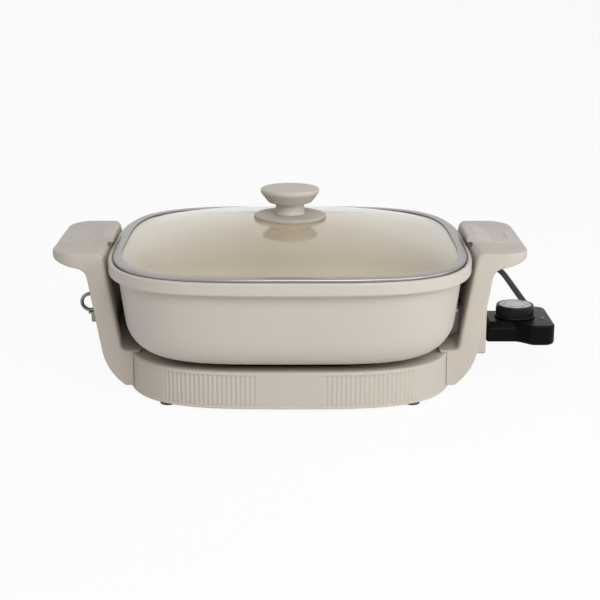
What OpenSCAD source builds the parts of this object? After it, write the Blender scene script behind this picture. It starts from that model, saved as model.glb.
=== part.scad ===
// Square electric skillet: coated pan, lift-off glass lid, fluted base, end brackets with
// latched grips, and a plug-in heat control with its cord.
// Millimetres, +Z up. The origin is on the table under the middle of the pan. The front is -Y.

/* [Pan] */
// Half the width of the pan over its rim
pan_half = 156.5; // [151:0.5:161.5]
// Squareness of the rim's and the lid's outline, 2 is a circle
corner_power = 3.6; // [3.2:0.1:4]
// Squareness of the pan's wall
wall_power = 4; // [3.6:0.1:4.4]
// Height from the pan's underside to the top of its rim
pan_depth = 78.8; // [70:0.1:90]
// Height of the rim band
rim_band = 10.8; // [8:0.1:13]
// How far the rim stands out from the pan's wall
rim_reach = 8.4; // [6.5:0.1:10.5]
// Rounding of the rim's edges
rim_edge = 1.5; // [0.8:0.1:2.2]
// How much the wall leans in from the rim to the bottom corner
pan_draft = 4.9; // [3:0.1:7]
// Radius of the corner between wall and bottom
pan_corner = 31; // [24:0.5:38]
// Thickness of the pan's wall and floor
pan_wall = 3.5; // [2.5:0.1:4.5]
// Width of the lip outside the lid
lip_w = 3.2; // [2.6:0.1:4]
// Depth of the lid's seat below the rim's top
seat_depth = 2.3; // [1.6:0.1:3.2]

/* [Lid] */
// Gap between the lid's ring and the rim's lip
lid_clear = 0.8; // [0.4:0.1:1.2]
// Gap under the lid's ring at its seat
lid_rest = 0.2; // [0.1:0.1:0.4]
// Width of the steel ring
ring_w = 7.5; // [6:0.1:9]
// Thickness of the steel ring's sheet
ring_t = 0.9; // [0.6:0.1:1.2]
// Thickness of the glass
glass_t = 2.6; // [2.2:0.1:4]
// Rise of the dome from the ring to its middle
dome_rise = 21.7; // [12:0.1:40]
// Radius of the hole for the knob's screw
glass_hole_r = 4; // [3.2:0.1:5]

/* [Knob] */
// Radius of the knob at its top
knob_r = 26; // [22:0.1:30]
// Radius of the knob's grip at its lower edge
knob_foot_r = 19.2; // [16:0.1:21]
// Radius of the knob's neck
knob_neck_r = 12.7; // [9:0.1:15]
// Height of the neck
knob_neck_h = 10.3; // [6:0.1:15]
// Height of the flared grip
knob_grip_h = 13; // [9:0.1:20]
// Radius of the flange under the knob
flange_r = 32; // [28:0.1:40]
// Thickness of the flange
flange_t = 2.5; // [1.8:0.1:4]

/* [Base] */
// Half length of the base ring along X
base_half_x = 141; // [137:0.5:144]
// Half depth of the base ring along Y
base_half_y = 128.5; // [122:0.5:136]
// Squareness of the base ring's outline
base_power = 3.3; // [3:0.1:3.8]
// Height of the base ring
base_h = 31.4; // [28:0.1:38]
// Wall of the base ring
base_wall = 3; // [2.4:0.1:4]
// Gap between the base and the pan above it
pan_clear = 3.6; // [3:0.1:8]
// Height of the rubber feet
foot_h = 3; // [2:0.1:5]
// Radius of the rubber feet
foot_r = 6.5; // [5:0.1:8]
// Spacing of the flutes round the base
flute_pitch = 3.9; // [3.4:0.1:6]
// Depth of the flutes
flute_depth = 0.9; // [0.4:0.1:1.3]
// Half width of the plain plate in the middle of the front
plate_half = 28; // [20:0.5:40]
// Distance from the middle at which the flutes end
flute_end = 110; // [100:0.5:118]
// Height of the plain band above the flutes
band_h = 2.6; // [2.3:0.1:5]
// Width of the deck that runs in under the pan
deck_w = 24; // [14:0.5:28]

/* [Brackets and grips] */
// Half width of a bracket along Y
bracket_half = 71; // [65:0.5:77]
// Gap between the rim and the bracket's inner edge
bracket_gap = 2.9; // [2:0.1:5]
// Reach of the grip outward from the bracket's inner edge
grip_depth = 45; // [40:0.5:53]
// Height of the grip's top above the rim
grip_rise = 4.6; // [3.4:0.1:5.4]
// Thickness of the grip at its tip
grip_tip = 8; // [7:0.1:11]
// Thickness of the leg at the top
leg_t = 14.5; // [12.5:0.1:17.5]
// Wall of the hollow leg
leg_wall = 3; // [2.2:0.1:4]
// Corner radius of the grip in plan
grip_corner = 34; // [26:0.5:38]

/* [Latches] */
// Half width of a latch
latch_half = 26; // [20:0.5:30]
// How far a latch reaches over the rim
tongue_reach = 1.7; // [1:0.1:2.2]
// Gap between the latch's tongue and the rim's top
tongue_gap = 4.7; // [4.2:0.1:6]
// Thickness of the latch's tongue
tongue_t = 6; // [4:0.1:8]
// Height of the latch above the grip's top
latch_proud = 0.8; // [0.4:0.1:1.5]
// Depth of the latch's channel in the grip
channel_depth = 3.8; // [3.2:0.1:4.5]
// Running gap between a latch and its channel
latch_clear = 0.3; // [0.2:0.05:0.4]
// Travel of a latch, set by the slot in its underside
latch_travel = 8; // [6:0.5:10]

/* [Heat control] */
// Length of the control's housing along X
ctrl_len = 60; // [56:0.5:66]
// Half width of the housing's neck, next to the collar
neck_half = 23.2; // [22:0.1:25]
// Half width of the housing's head, beyond the dial
head_half = 34.5; // [32:0.5:37]
// Height of the housing
ctrl_h = 18.2; // [16.5:0.1:21]
// Wall of the housing
ctrl_wall = 2.2; // [1.8:0.1:2.6]
// Rounding of the housing's upper edge
ctrl_edge = 1.6; // [1:0.1:2.4]
// Height of the bevel on the neck's upper edges
bevel_h = 5.6; // [4:0.1:6.5]
// Radius of the dial
dial_r = 17.2; // [15:0.1:19]
// Height of the dial
dial_h = 10.9; // [8:0.1:14]
// Number of grip ribs round the dial
dial_ribs = 40; // [24:2:60]
// Radius of the dial's spindle
spindle_r = 3; // [2.5:0.1:3.5]
// Running gap of the spindle in its bores
spindle_clear = 0.06; // [0.04:0.01:0.1]
// Radius of the temperature probe
probe_r = 2.5; // [2:0.1:2.6]
// Length of the probe outside the control's nose
probe_len = 92; // [80:1:95]
// Radius of a terminal pin
pin_r = 2.2; // [1.8:0.1:2.3]
// Half the distance between the terminal pins
pin_half = 12; // [10.5:0.1:13]
// Radius of the heating element's tube
element_r = 3.6; // [3:0.1:3.7]
// Radius of the heating element's loop
loop_r = 80; // [60:1:88]
// Half width of the collar round the control's nose
collar_half = 27; // [25:0.5:30]
// Height of the collar
collar_h = 47; // [42:0.5:50]
// How far the collar stands out from the leg
collar_proud = 7.6; // [6:0.1:9.5]

/* [Cord] */
// Diameter of the cord
cord_d = 6; // [5:0.1:6.2]
// Turns of cord in the coil
coil_turns = 2.5; // [2.5:1:4.5]
// Radius of the coil's outer turn
coil_r = 37; // [34:0.5:44]
// Distance between neighbouring turns
coil_pitch = 6.6; // [6.5:0.1:8]

/* [Hidden] */

// Colours
greige = "#C8C0B6";
greige_base = "#BFB7AD";
greige_knob = "#C6BFB6";
flange_tone = "#A59D92";
steel = "#9A9896";
bright_metal = "#C4C2BE";
gloss_black = "#1B1A1A";
rubber_black = "#2C2A29";
brass = "#B8924A";
phenolic = "#3A2A22";

// Points round an outline, and steps in a rounded corner
outline_n = 64;
corner_n = 6;
$fn = 64;

// Small gap between pieces that are fastened together
seam = 0.2;
// Overlap that carries a cut past a face
over = 1;

// Heights of the base and the pan
base_top = foot_h + base_h;
pan_bottom = base_top + pan_clear;
rim_top = pan_bottom + pan_depth;
rim_under = rim_top - rim_band;
seat_z = rim_top - seat_depth;
// Half widths of the pan
wall_top_half = pan_half - rim_reach;
wall_low_half = wall_top_half - pan_draft;
corner_mid_half = wall_low_half - pan_corner;
corner_mid_z = pan_bottom + pan_corner;
seat_half = pan_half - lip_w;
inner_top_half = wall_top_half - pan_wall;

// Lid
ring_out = seat_half - lid_clear;
ring_in = ring_out - ring_w;
ring_z = seat_z + lid_rest;
glass_gap = 0.2;
glass_half = ring_out - ring_t - 3 * glass_gap;
glass_low_z = ring_z + ring_t + glass_gap / 2;
dome_base = glass_low_z + glass_t;
dome_top = dome_base + dome_rise;
flange_z = dome_top + seam;
knob_z = flange_z + flange_t;
knob_edge_h = 4.2;
knob_crown = 0.6;
knob_bore_r = 2.5;
knob_bore_depth = 14;
washer_r = 8;
washer_t = 1.2;
screw_head_h = 2.6;
screw_head_r = 4.5;

// Base
lip_out = 0.9;
lip_h = 2.5;
band_out = 0.4;
band_edge = 2;
deck_fall = 1.6;
deck_t = 2.4;
tray_t = 2;
post_r = 6;
post_step_r = 9;
shield_t = 1;
shield_drop = 11;
shield_z = pan_bottom - shield_drop;
shield_gap = 0.6;
post_at = 0.55 * wall_low_half;
foot_inset_x = 38;
foot_inset_y = 24.5;
foot_x = base_half_x - foot_inset_x;
foot_y = base_half_y - foot_inset_y;
notch_clear = 0.5;
rim_clear = 0.8;

// Bracket profile
grip_top = rim_top + grip_rise;
grip_in = pan_half + bracket_gap;
grip_out = grip_in + grip_depth;
grip_under = grip_top - grip_tip;
grip_root_t = 14.8;
grip_root = grip_top - grip_root_t;
leg_out_top = grip_in + leg_t;
knee_reach = 17.8;
knee_lift = 15.4;
knee_x = base_half_x + knee_reach;
knee_z = foot_h + knee_lift;
sole_reach = 1.5;
sole_lift = 1.8;
sole_x = base_half_x + sole_reach;
sole_z = foot_h + sole_lift;
ledge_t = 1.8;
ledge_z = base_top + ledge_t;
ledge_w = 12;
ledge_in = base_half_x - ledge_w;
leg_offset = 3.6;
leg_in_low = base_half_x + leg_offset;
cavity_end = 4;
window_low = ledge_z + leg_wall;
window_h = 31;
window_side = 14;
window_half = bracket_half - window_side;

// Faces of the leg at a height, as distances from the middle of the pan
function leg_in(z) = leg_in_low + (z - ledge_z) * (grip_in - leg_in_low) / (grip_top - ledge_z);
function leg_out(z) = knee_x + (z - knee_z) * (leg_out_top - knee_x) / (grip_root - knee_z);

// Latch
latch_low = grip_top - channel_depth + latch_clear;
latch_top = grip_top + latch_proud;
rail_w = 2;
rail_h = 1.4;
tongue_in = pan_half - tongue_reach;
tongue_low = rim_top + tongue_gap;
tongue_top = tongue_low + tongue_t;
ramp_run = 14;
tongue_len = 9.5;
latch_in = grip_in + 0.5;
latch_end = grip_out - 1;
ridge_r = 1.5;
ridge_half = 15;
ridge_at = latch_end - 10.4;
ridge_sunk = 0.7;
stop_r = 1.5;
stop_h = 1.2;
stop_at = grip_in + 22;

// Control, collar and terminals
term_drop = 3.8;
term_z = pan_bottom - term_drop;
collar_drop = 14.8;
collar_z = term_z - collar_drop;
collar_top = collar_z + collar_h;
collar_out = leg_out(collar_top) + collar_proud;
collar_corner = 4;
// Guard between the pan's wall and the collar
guard_t = 1.2;
guard_side = 3;
guard_half = collar_half - guard_side;
guard_gap = 0.5;
guard_in = wall_low_half + guard_gap;
guard_run = 6.4;
guard_out = guard_in + guard_run;
guard_lift = 6;
guard_low = collar_z + guard_lift;
guard_rise = 25;
guard_top = pan_bottom + guard_rise;
strap_w = 8;
strap_gap = 6.4;
strap_in = loop_r + element_r + strap_gap;
collar_in = guard_out + guard_gap;
nose_len = 20;
nose_half = 19;
nose_h = 14;
nose_gap = 0.6;
ctrl_gap = 0.5;
ctrl_x = collar_out + ctrl_gap;
ctrl_drop = 4.7;
ctrl_z = term_z - ctrl_drop;
ctrl_top = ctrl_z + ctrl_h;
ctrl_split = ctrl_z + 0.5 * ctrl_h;
ctrl_low_edge = 3;
nose_x = ctrl_x - nose_len;
ctrl_end = ctrl_x + ctrl_len;
neck_end = ctrl_x + 0.46 * ctrl_len;
head_x = neck_end + head_half - neck_half;
bevel_w = 5;
bevel_end = 3.7;
dial_x = ctrl_x + 0.472 * ctrl_len;
dial_lift = 0.5;
dial_skirt_r = dial_r + 0.9;
dial_skirt_h = 1.6;
dial_z = ctrl_top + dial_lift;
dial_top = dial_z + dial_h;
face_r = dial_r - 2.6;
face_t = 1;
lens_r = 2.2;
lens_x = ctrl_end - 8;
lens_y = -7.6;
thermo_half = 14;
thermo_inset = 14;
thermo_x = ctrl_x + thermo_inset;
thermo_spare = 13;
thermo_len = ctrl_len - thermo_inset - thermo_spare;
thermo_h = 8;
fit_gap = 0.3;
clip_in_r = pin_r + fit_gap;
clip_t = 0.8;
clip_out_r = clip_in_r + clip_t;
clip_len = 12;
pin_inset = 22;
pin_in = wall_low_half - pin_inset;
pin_out = nose_x + clip_len;
sleeve_gap = 0.05;
sleeve_r = pan_bottom - term_z - sleeve_gap;
sleeve_end = 3;
sleeve_in = nose_x - probe_len - sleeve_end;
sleeve_inset = 12;
sleeve_out = wall_low_half - sleeve_inset;

// Cord route: it leaves the back of the control, comes down to the table behind the pan,
// turns left and lies in a coil beside its plug.
cord_exit = [226.5, 59.5, 37.2];
route = [
  cord_exit, [226.5, 68, 37.2], [226.4, 84, 37.2], [226.1, 100, 37.2], [225.7, 116, 37.2],
  [225.3, 132, 37.2], [224.9, 148, 37.2], [224.5, 164, 37.2], [224.1, 180, 37.2], [223.7, 194, 37.2],
  [223, 206, 37.2], [221.9, 217, 37.2], [219, 228, 36.5], [214.6, 239, 33.1], [209.7, 250, 27.7],
  [205.1, 261, 21.1], [201.7, 272, 14.3], [200.1, 283, 8.6], [199.9, 292, 5.4], [198.6, 301, 3.8],
  [194.4, 311, 3.7], [187.7, 319.7, 3.7], [179, 326.4, 3.7], [168.9, 330.6, 3.7], [158, 332, 3.7],
  [150, 332, 3.7], [144, 332, 3.7]
];
coil_mid = [144, 295];
coil_layer = cord_d + 0.5;
coil_low = 3.7;
tail_len = 14;
tie_gap = 0.25;
tie_t = 0.4;
tie_half = 2;
loop_rings = 24;
climb_from = (coil_turns - 0.5) / 2;

// Geometry helpers

function unit(v) = v / norm(v);

// Points of an arc in a plane
function arc(mid, r, a0, a1, steps) =
  [for (i = [0:steps]) let (a = a0 + (a1 - a0) * i / steps) mid + r * [cos(a), sin(a)]];

// A polygon whose corners [x, y, r] are rounded with their own radius
function rounded(corners, steps = corner_n) =
  [for (i = [0:len(corners) - 1])
    let (
      n = len(corners),
      v = [corners[i][0], corners[i][1]],
      p = [corners[(i + n - 1) % n][0], corners[(i + n - 1) % n][1]],
      q = [corners[(i + 1) % n][0], corners[(i + 1) % n][1]],
      r = corners[i][2]
    )
    each (r <= 0 ? [v] : fillet(v, unit(p - v), unit(q - v), r, steps))];

function fillet(v, a, b, r, steps) =
  let (
    half = acos(a * b) / 2,
    mid = v + unit(a + b) * r / sin(half),
    start = v + a * r / tan(half) - mid,
    stop = v + b * r / tan(half) - mid,
    a0 = atan2(start[1], start[0]),
    turn = atan2(stop[1], stop[0]) - a0,
    sweep = turn > 180 ? turn - 360 : turn < -180 ? turn + 360 : turn
  )
  arc(mid, r, a0, a0 + sweep, steps);

// Rounded square of half sizes hx and hy
function squircle(hx, hy, power = corner_power, n = outline_n) =
  [for (i = [0:n - 1])
    let (c = cos(360 * i / n), s = sin(360 * i / n))
    [hx * sign(c) * pow(abs(c), 2 / power), hy * sign(s) * pow(abs(s), 2 / power)]];

function raised(outline, z) = [for (p = outline) [p[0], p[1], z]];

// Skin through rings of equal length, capped at both ends or closed on itself
module loft(rings, closed = false) {
  n = len(rings[0]);
  m = len(rings);
  last = closed ? m - 1 : m - 2;
  sides = [for (i = [0:last], j = [0:n - 1])
    let (
      k = (i + 1) % m,
      l = (j + 1) % n,
      a = i * n + j,
      b = i * n + l,
      c = k * n + j,
      d = k * n + l
    )
    each [[a, c, d], [a, d, b]]];
  caps = closed ? [] : [[for (j = [0:n - 1]) j], [for (j = [n - 1:-1:0]) (m - 1) * n + j]];
  polyhedron(points = [for (r = rings) each r], faces = concat(sides, caps), convexity = 8);
}

// Profile in X and Z pulled along Y, both ways from the middle
module along_y(half) {
  rotate([90, 0, 0]) linear_extrude(2 * half, center = true) children();
}

// Profile in Y and Z pulled along X
module along_x(x0, x1) {
  translate([x0, 0, 0]) rotate([90, 0, 90]) linear_extrude(x1 - x0) children();
}

module rod_x(x0, x1, y, z, r) {
  translate([x0, y, z]) rotate([0, 90, 0]) cylinder(h = x1 - x0, r = r);
}

module at_corners(x, y) {
  for (sx = [-1, 1], sy = [-1, 1]) translate([sx * x, sy * y, 0]) children();
}

// Screw with its head at z = 0, pointing up
module screw(head_r, head_h, shank_r, length) {
  rotate_extrude() polygon(rounded([
    [0, 0, 0], [0.6 * head_r, 0, 0], [head_r, 0.5 * head_h, 0], [head_r, head_h, 0],
    [shank_r, head_h, 0], [shank_r, head_h + length, 0], [0, head_h + length, 0]
  ]));
}

// Base

// Outline of the base ring, grown by d
function base_outline(d) = squircle(base_half_x + d, base_half_y + d, base_power, 96);

// Points along the base outline at equal distances, to space the flutes evenly
base_fine = squircle(base_half_x, base_half_y, base_power, 240);
base_runs = [for (i = 0, s = 0; i < len(base_fine);
  s = s + norm(base_fine[(i + 1) % len(base_fine)] - base_fine[i]), i = i + 1) s];
base_round = base_runs[len(base_runs) - 1] + norm(base_fine[0] - base_fine[len(base_fine) - 1]);
table_x = [for (i = [0:len(base_fine)]) [i < len(base_fine) ? base_runs[i] : base_round,
  base_fine[i % len(base_fine)][0]]];
table_y = [for (i = [0:len(base_fine)]) [i < len(base_fine) ? base_runs[i] : base_round,
  base_fine[i % len(base_fine)][1]]];
function base_at(s) = [lookup(s, table_x), lookup(s, table_y)];
function base_normal(s) =
  let (t = unit(base_at(s + 0.5) - base_at(s - 0.5))) [t[1], -t[0]];
flute_n = 2 * round(base_round / flute_pitch / 2);
flute_step = base_round / flute_n;
function is_fluted(p) = abs(p[0]) > plate_half && abs(p[0]) < flute_end && abs(p[1]) > bracket_half;
fluted_outline = [for (k = [0:flute_n - 1])
  let (s = (k + 0.5) * flute_step, p = base_at(s))
  each (is_fluted(p)
    ? [for (q = [[-0.42, 0], [-0.2, 0.8], [0.2, 0.8], [0.42, 0]])
        let (at = s + q[0] * flute_step) base_at(at) - q[1] * flute_depth * base_normal(at)]
    : [p])];

// Growth of the outline and height along the section of the band and the deck behind it
deck_section = concat(
  [[band_out, base_top - band_h]],
  arc([band_out - band_edge, base_top - band_edge], band_edge, 0, 90, 3),
  [[-deck_w, base_top - deck_fall], [-deck_w, base_top - deck_fall - deck_t],
    [-base_wall, base_top - band_h]]
);

module base_ring() {
  color(greige_base)
  difference() {
    union() {
      difference() {
        union() {
          translate([0, 0, foot_h]) linear_extrude(base_h - band_h + seam) polygon(fluted_outline);
          translate([0, 0, foot_h]) linear_extrude(lip_h) polygon(base_outline(lip_out));
        }
        translate([0, 0, foot_h - over]) linear_extrude(base_h) polygon(base_outline(-base_wall));
      }
      loft([for (p = deck_section) raised(base_outline(p[0]), p[1])], closed = true);
    }
    // Way in for the control
    translate([0, -collar_half - notch_clear, collar_z - notch_clear])
      cube([base_half_x + lip_out + over, 2 * (collar_half + notch_clear), base_h]);
  }
}

module base_tray() {
  color(greige_base) {
    translate([0, 0, foot_h]) linear_extrude(tray_t) polygon(base_outline(-base_wall - seam));
    // Posts that carry the pan, with a shoulder for the heat shield
    at_corners(post_at, post_at) translate([0, 0, foot_h]) {
      cylinder(h = pan_bottom - foot_h, r = post_r);
      cylinder(h = shield_z - foot_h, r = post_step_r);
    }
  }
}

// Dark sheet that keeps the element's heat off the table
module heat_shield() {
  color(gloss_black)
  translate([0, 0, shield_z]) difference() {
    linear_extrude(shield_t) polygon(base_outline(-base_wall - shield_gap));
    at_corners(post_at, post_at)
      translate([0, 0, -over]) cylinder(h = shield_t + 2 * over, r = post_r + seam);
    // Room for the terminal guard and the collar
    translate([guard_in - notch_clear, -collar_half - notch_clear, -over])
      cube([base_half_x, 2 * (collar_half + notch_clear), shield_t + 2 * over]);
  }
}

module rubber_feet() {
  color(rubber_black)
  at_corners(foot_x, foot_y)
    rotate_extrude() polygon([
      [0, 0], [foot_r - 0.8, 0], [foot_r, 0.8], [foot_r, foot_h], [0, foot_h]
    ]);
}

module tray_screws() {
  color(steel)
  at_corners(post_at, post_at) translate([0, 0, foot_h - 2]) cylinder(h = 2, r = 3.2);
}

// Brackets

// Side view of the right bracket
bracket_profile = rounded([
  [grip_in, grip_top, 6],
  [grip_out, grip_top, 2],
  [grip_out, grip_under, 3.5],
  [leg_out_top, grip_root, 10],
  [knee_x, knee_z, 50],
  [sole_x, sole_z, 2],
  [ledge_in, sole_z, 0],
  [ledge_in, ledge_z, 0],
  [leg_in_low, ledge_z, 5]
]);
// Plan view of the right bracket
bracket_plan = rounded([
  [ledge_in - over, -bracket_half, 0],
  [grip_out, -bracket_half, grip_corner],
  [grip_out, bracket_half, grip_corner],
  [ledge_in - over, bracket_half, 0]
], 10);
cavity_low = window_low;
cavity_top = grip_root - 8;

module bracket() {
  // Peg that stops the latch at both ends of its travel
  translate([stop_at, 0, latch_low - latch_clear - seam]) cylinder(h = stop_h + seam, r = stop_r);
  difference() {
    intersection() {
      along_y(bracket_half) polygon(bracket_profile);
      linear_extrude(grip_top + over) polygon(bracket_plan);
    }
    // Seat on the end of the base ring
    linear_extrude(foot_h + lip_h + seam) polygon(base_outline(lip_out + seam));
    linear_extrude(base_top + seam) polygon(base_outline(band_out + seam));
    // Room for the pan's rim
    translate([0, 0, rim_under - rim_clear])
      linear_extrude(grip_top - rim_under + rim_clear + over)
        polygon(squircle(pan_half + rim_clear, pan_half + rim_clear));
    // Hollow leg, open towards the pan
    along_y(bracket_half - cavity_end) polygon([
      [leg_in(cavity_low) + leg_wall, cavity_low],
      [leg_out(cavity_low) - leg_wall, cavity_low],
      [leg_out(cavity_top) - leg_wall, cavity_top],
      [leg_in(cavity_top) + leg_wall, cavity_top]
    ]);
    translate([leg_in_low - over, -window_half, window_low])
      cube([leg_in(window_low + window_h) + leg_wall - leg_in_low + over, 2 * window_half, window_h]);
    // Channel with side grooves for the latch
    along_x(grip_in - over, grip_out + over) polygon([
      [-latch_half - rail_w - latch_clear, latch_low - latch_clear],
      [latch_half + rail_w + latch_clear, latch_low - latch_clear],
      [latch_half + rail_w + latch_clear, latch_low + rail_h + latch_clear],
      [latch_half + latch_clear, latch_low + rail_h + latch_clear],
      [latch_half + latch_clear, grip_top + over],
      [-latch_half - latch_clear, grip_top + over],
      [-latch_half - latch_clear, latch_low + rail_h + latch_clear],
      [-latch_half - rail_w - latch_clear, latch_low + rail_h + latch_clear]
    ]);
  }
}

module left_bracket() {
  color(greige_base) mirror([1, 0, 0]) bracket();
}

module right_bracket() {
  color(greige_base)
  difference() {
    bracket();
    // Hole for the collar
    translate([ledge_in - over, -collar_half - seam, collar_z - seam])
      cube([collar_out - ledge_in + 2 * over, 2 * (collar_half + seam), collar_h + 2 * seam]);
  }
}

module bracket_screws() {
  color(steel)
  for (sx = [-1, 1], sy = [-1, 1])
    translate([sx * (ledge_in + 3), sy * (bracket_half - 32), ledge_z])
      intersection() {
        sphere(r = 3);
        translate([-3, -3, 0]) cube([6, 6, 3]);
      }
}

// Frame of the control's entry: it fills the hole in the leg and stands out of it
module control_collar() {
  color(greige)
  difference() {
    along_x(collar_in, collar_out) polygon(rounded([
      [-collar_half, collar_z, collar_corner], [collar_half, collar_z, collar_corner],
      [collar_half, collar_top, collar_corner], [-collar_half, collar_top, collar_corner]
    ]));
    along_x(collar_in - over, collar_out + over) polygon(rounded([
      [-nose_half - nose_gap, ctrl_z - nose_gap, 3], [nose_half + nose_gap, ctrl_z - nose_gap, 3],
      [nose_half + nose_gap, ctrl_z + nose_h + nose_gap, 3],
      [-nose_half - nose_gap, ctrl_z + nose_h + nose_gap, 3]
    ]));
    // Hollow above the opening, open towards the pan
    along_x(collar_in - over, collar_out - leg_wall) polygon([
      [-collar_half + leg_wall, ctrl_z + nose_h + leg_wall],
      [collar_half - leg_wall, ctrl_z + nose_h + leg_wall],
      [collar_half - leg_wall, collar_top - leg_wall],
      [-collar_half + leg_wall, collar_top - leg_wall]
    ]);
  }
}

// Ring on a short post, on the outside of the left leg
keeper_r = 7.35;
keeper_wire_r = 1.65;
keeper_low = pan_bottom + 5;
keeper_high = keeper_low + 9.5;
keeper_out = leg_out(keeper_high) + 17.3;
keeper_x = keeper_out - 1.5;

module keeper_ring() {
  color(bright_metal)
  mirror([1, 0, 0]) {
    translate([keeper_x, 0, keeper_high + keeper_r + keeper_wire_r - 0.4])
      rotate([90, 0, 0]) rotate_extrude() translate([keeper_r, 0]) circle(r = keeper_wire_r);
    along_y(3) polygon([
      [leg_out(keeper_low), keeper_low], [keeper_out - 2.5, keeper_low], [keeper_out - 2.5, keeper_high - 2],
      [keeper_out, keeper_high - 2], [keeper_out, keeper_high], [leg_out(keeper_high), keeper_high]
    ]);
  }
}

// Latches

latch_profile = rounded([
  [latch_end, latch_low, 0.6],
  [latch_end, latch_top, 1],
  [tongue_in + tongue_len + ramp_run, latch_top, 6],
  [tongue_in + tongue_len, tongue_top, 5],
  [tongue_in, tongue_top, 2],
  [tongue_in, tongue_low, 0.8],
  [latch_in, tongue_low, 0.5],
  [latch_in, latch_low, 0.4]
]);

module latch() {
  difference() {
    along_y(latch_half) polygon(latch_profile);
    latch_stop_slot();
  }
  // Thumb ridge
  intersection() {
    translate([ridge_at, 0, latch_top - ridge_sunk]) rotate([90, 0, 0])
      cylinder(h = 2 * ridge_half, r = ridge_r, center = true);
    translate([ridge_at - ridge_r, -ridge_half, latch_top - ridge_sunk])
      cube([2 * ridge_r, 2 * ridge_half, 2 * ridge_r]);
  }
  // Side rails that run in the channel's grooves
  for (s = [-1, 1])
    translate([latch_in, s > 0 ? latch_half - seam : -latch_half - rail_w, latch_low])
      cube([latch_end - latch_in, rail_w + seam, rail_h]);
}

// Slot in the latch's underside, as long as its travel
module latch_stop_slot() {
  slot_half = stop_r + latch_clear;
  translate([stop_at - latch_travel - slot_half, -slot_half, latch_low - over])
    cube([latch_travel + 2 * slot_half, 2 * slot_half, stop_h + over]);
}

module left_latch() {
  color(greige) mirror([1, 0, 0]) latch();
}

module right_latch() {
  color(greige) latch();
}

// Pan

// Half width and height of the pan's skin, from the underside up to the rim, over it, and down inside
pan_outside = concat(
  arc([corner_mid_half, corner_mid_z], pan_corner, -90, -5, 7),
  [[wall_top_half, rim_under]]
);
pan_rim = [
  [pan_half - rim_edge, rim_under], [pan_half, rim_under + rim_edge], [pan_half, rim_top - rim_edge],
  [pan_half - rim_edge, rim_top], [seat_half, rim_top], [seat_half, seat_z]
];
pan_inside = concat(
  [[inner_top_half, seat_z], [inner_top_half - 0.5, seat_z - 4]],
  arc([corner_mid_half, corner_mid_z], pan_corner - pan_wall, -5, -90, 7)
);
function square_rings(skin, power) = [for (p = skin) raised(squircle(p[0], p[0], power), p[1])];

module pan() {
  color(greige) loft(concat(
    square_rings(pan_outside, wall_power),
    square_rings(pan_rim, corner_power),
    square_rings(pan_inside, wall_power)
  ));
}

// Element, clamped under the pan's floor, with two cold ends towards the terminals
module heating_element() {
  lead_a = asin(pin_half / loop_r);
  color(steel)
  translate([0, 0, term_z]) {
    rotate([0, 0, lead_a]) rotate_extrude(angle = 360 - 2 * lead_a)
      translate([loop_r, 0]) circle(r = element_r);
    for (s = [-1, 1]) translate([loop_r * cos(lead_a), s * pin_half, 0]) {
      sphere(r = element_r);
      rotate([0, 90, 0]) cylinder(h = pin_in - loop_r * cos(lead_a), r = element_r);
    }
  }
}

module terminal_pins() {
  color(bright_metal)
  for (s = [-1, 1]) {
    rod_x(pin_in, pin_out - pin_r, s * pin_half, term_z, pin_r);
    translate([pin_out - pin_r, s * pin_half, term_z]) sphere(r = pin_r);
  }
}

module probe_sleeve() {
  color(bright_metal)
  difference() {
    rod_x(sleeve_in, sleeve_out, 0, term_z, sleeve_r);
    rod_x(sleeve_in + 2, sleeve_out + over, 0, term_z, probe_r + fit_gap);
  }
}

// Sheet-metal guard round the terminals, with two straps under the pan
module terminal_guard() {
  color(bright_metal) {
    difference() {
      along_x(guard_in, guard_out) polygon(rounded([
        [-guard_half, guard_low, 3], [guard_half, guard_low, 3],
        [guard_half, guard_top, 6], [-guard_half, guard_top, 6]
      ]));
      along_x(guard_in - over, guard_out + over) polygon(rounded([
        [-guard_half + guard_t, guard_low + guard_t, 2], [guard_half - guard_t, guard_low + guard_t, 2],
        [guard_half - guard_t, guard_top - guard_t, 5], [-guard_half + guard_t, guard_top - guard_t, 5]
      ]));
    }
    for (s = [-1, 1])
      translate([strap_in, s * (guard_half - strap_w / 2) - strap_w / 2, pan_bottom - guard_t])
        cube([guard_in - strap_in + guard_t, strap_w, guard_t]);
  }
}

// Lid

// Height of the glass's upper face at a half width
function dome_z(h) = h >= ring_in ? dome_base : dome_base + dome_rise * (1 - pow(h / ring_in, 2));
function dome_ring(h, z) =
  let (power = 2 + (corner_power - 2) * pow(min(1, h / ring_in), 2)) raised(squircle(h, h, power), z);
dome_steps = 8;
dome_halves = [for (i = [0:dome_steps]) ring_in - (ring_in - glass_hole_r) * i / dome_steps];

module lid_glass() {
  color([0.78, 0.86, 0.85, 0.45])
  loft(concat(
    [dome_ring(glass_half, glass_low_z), dome_ring(glass_half, dome_base)],
    [for (h = dome_halves) dome_ring(h, dome_z(h))],
    [for (i = [dome_steps:-1:0]) dome_ring(dome_halves[i], dome_z(dome_halves[i]) - glass_t)]
  ), closed = true);
}

module lid_ring() {
  flange_low = dome_base + glass_gap;
  skin = [
    [ring_out, ring_z], [ring_out, flange_low - 0.3], [ring_out - 0.9, flange_low + 0.7 * ring_t],
    [ring_out - 2.4, flange_low + ring_t], [ring_in, flange_low + ring_t], [ring_in, flange_low],
    [ring_out - ring_t, flange_low], [ring_out - ring_t, ring_z + ring_t],
    [ring_in + 2, ring_z + ring_t], [ring_in + 2, ring_z]
  ];
  color(steel) loft([for (p = skin) raised(squircle(p[0], p[0]), p[1])], closed = true);
}

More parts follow.
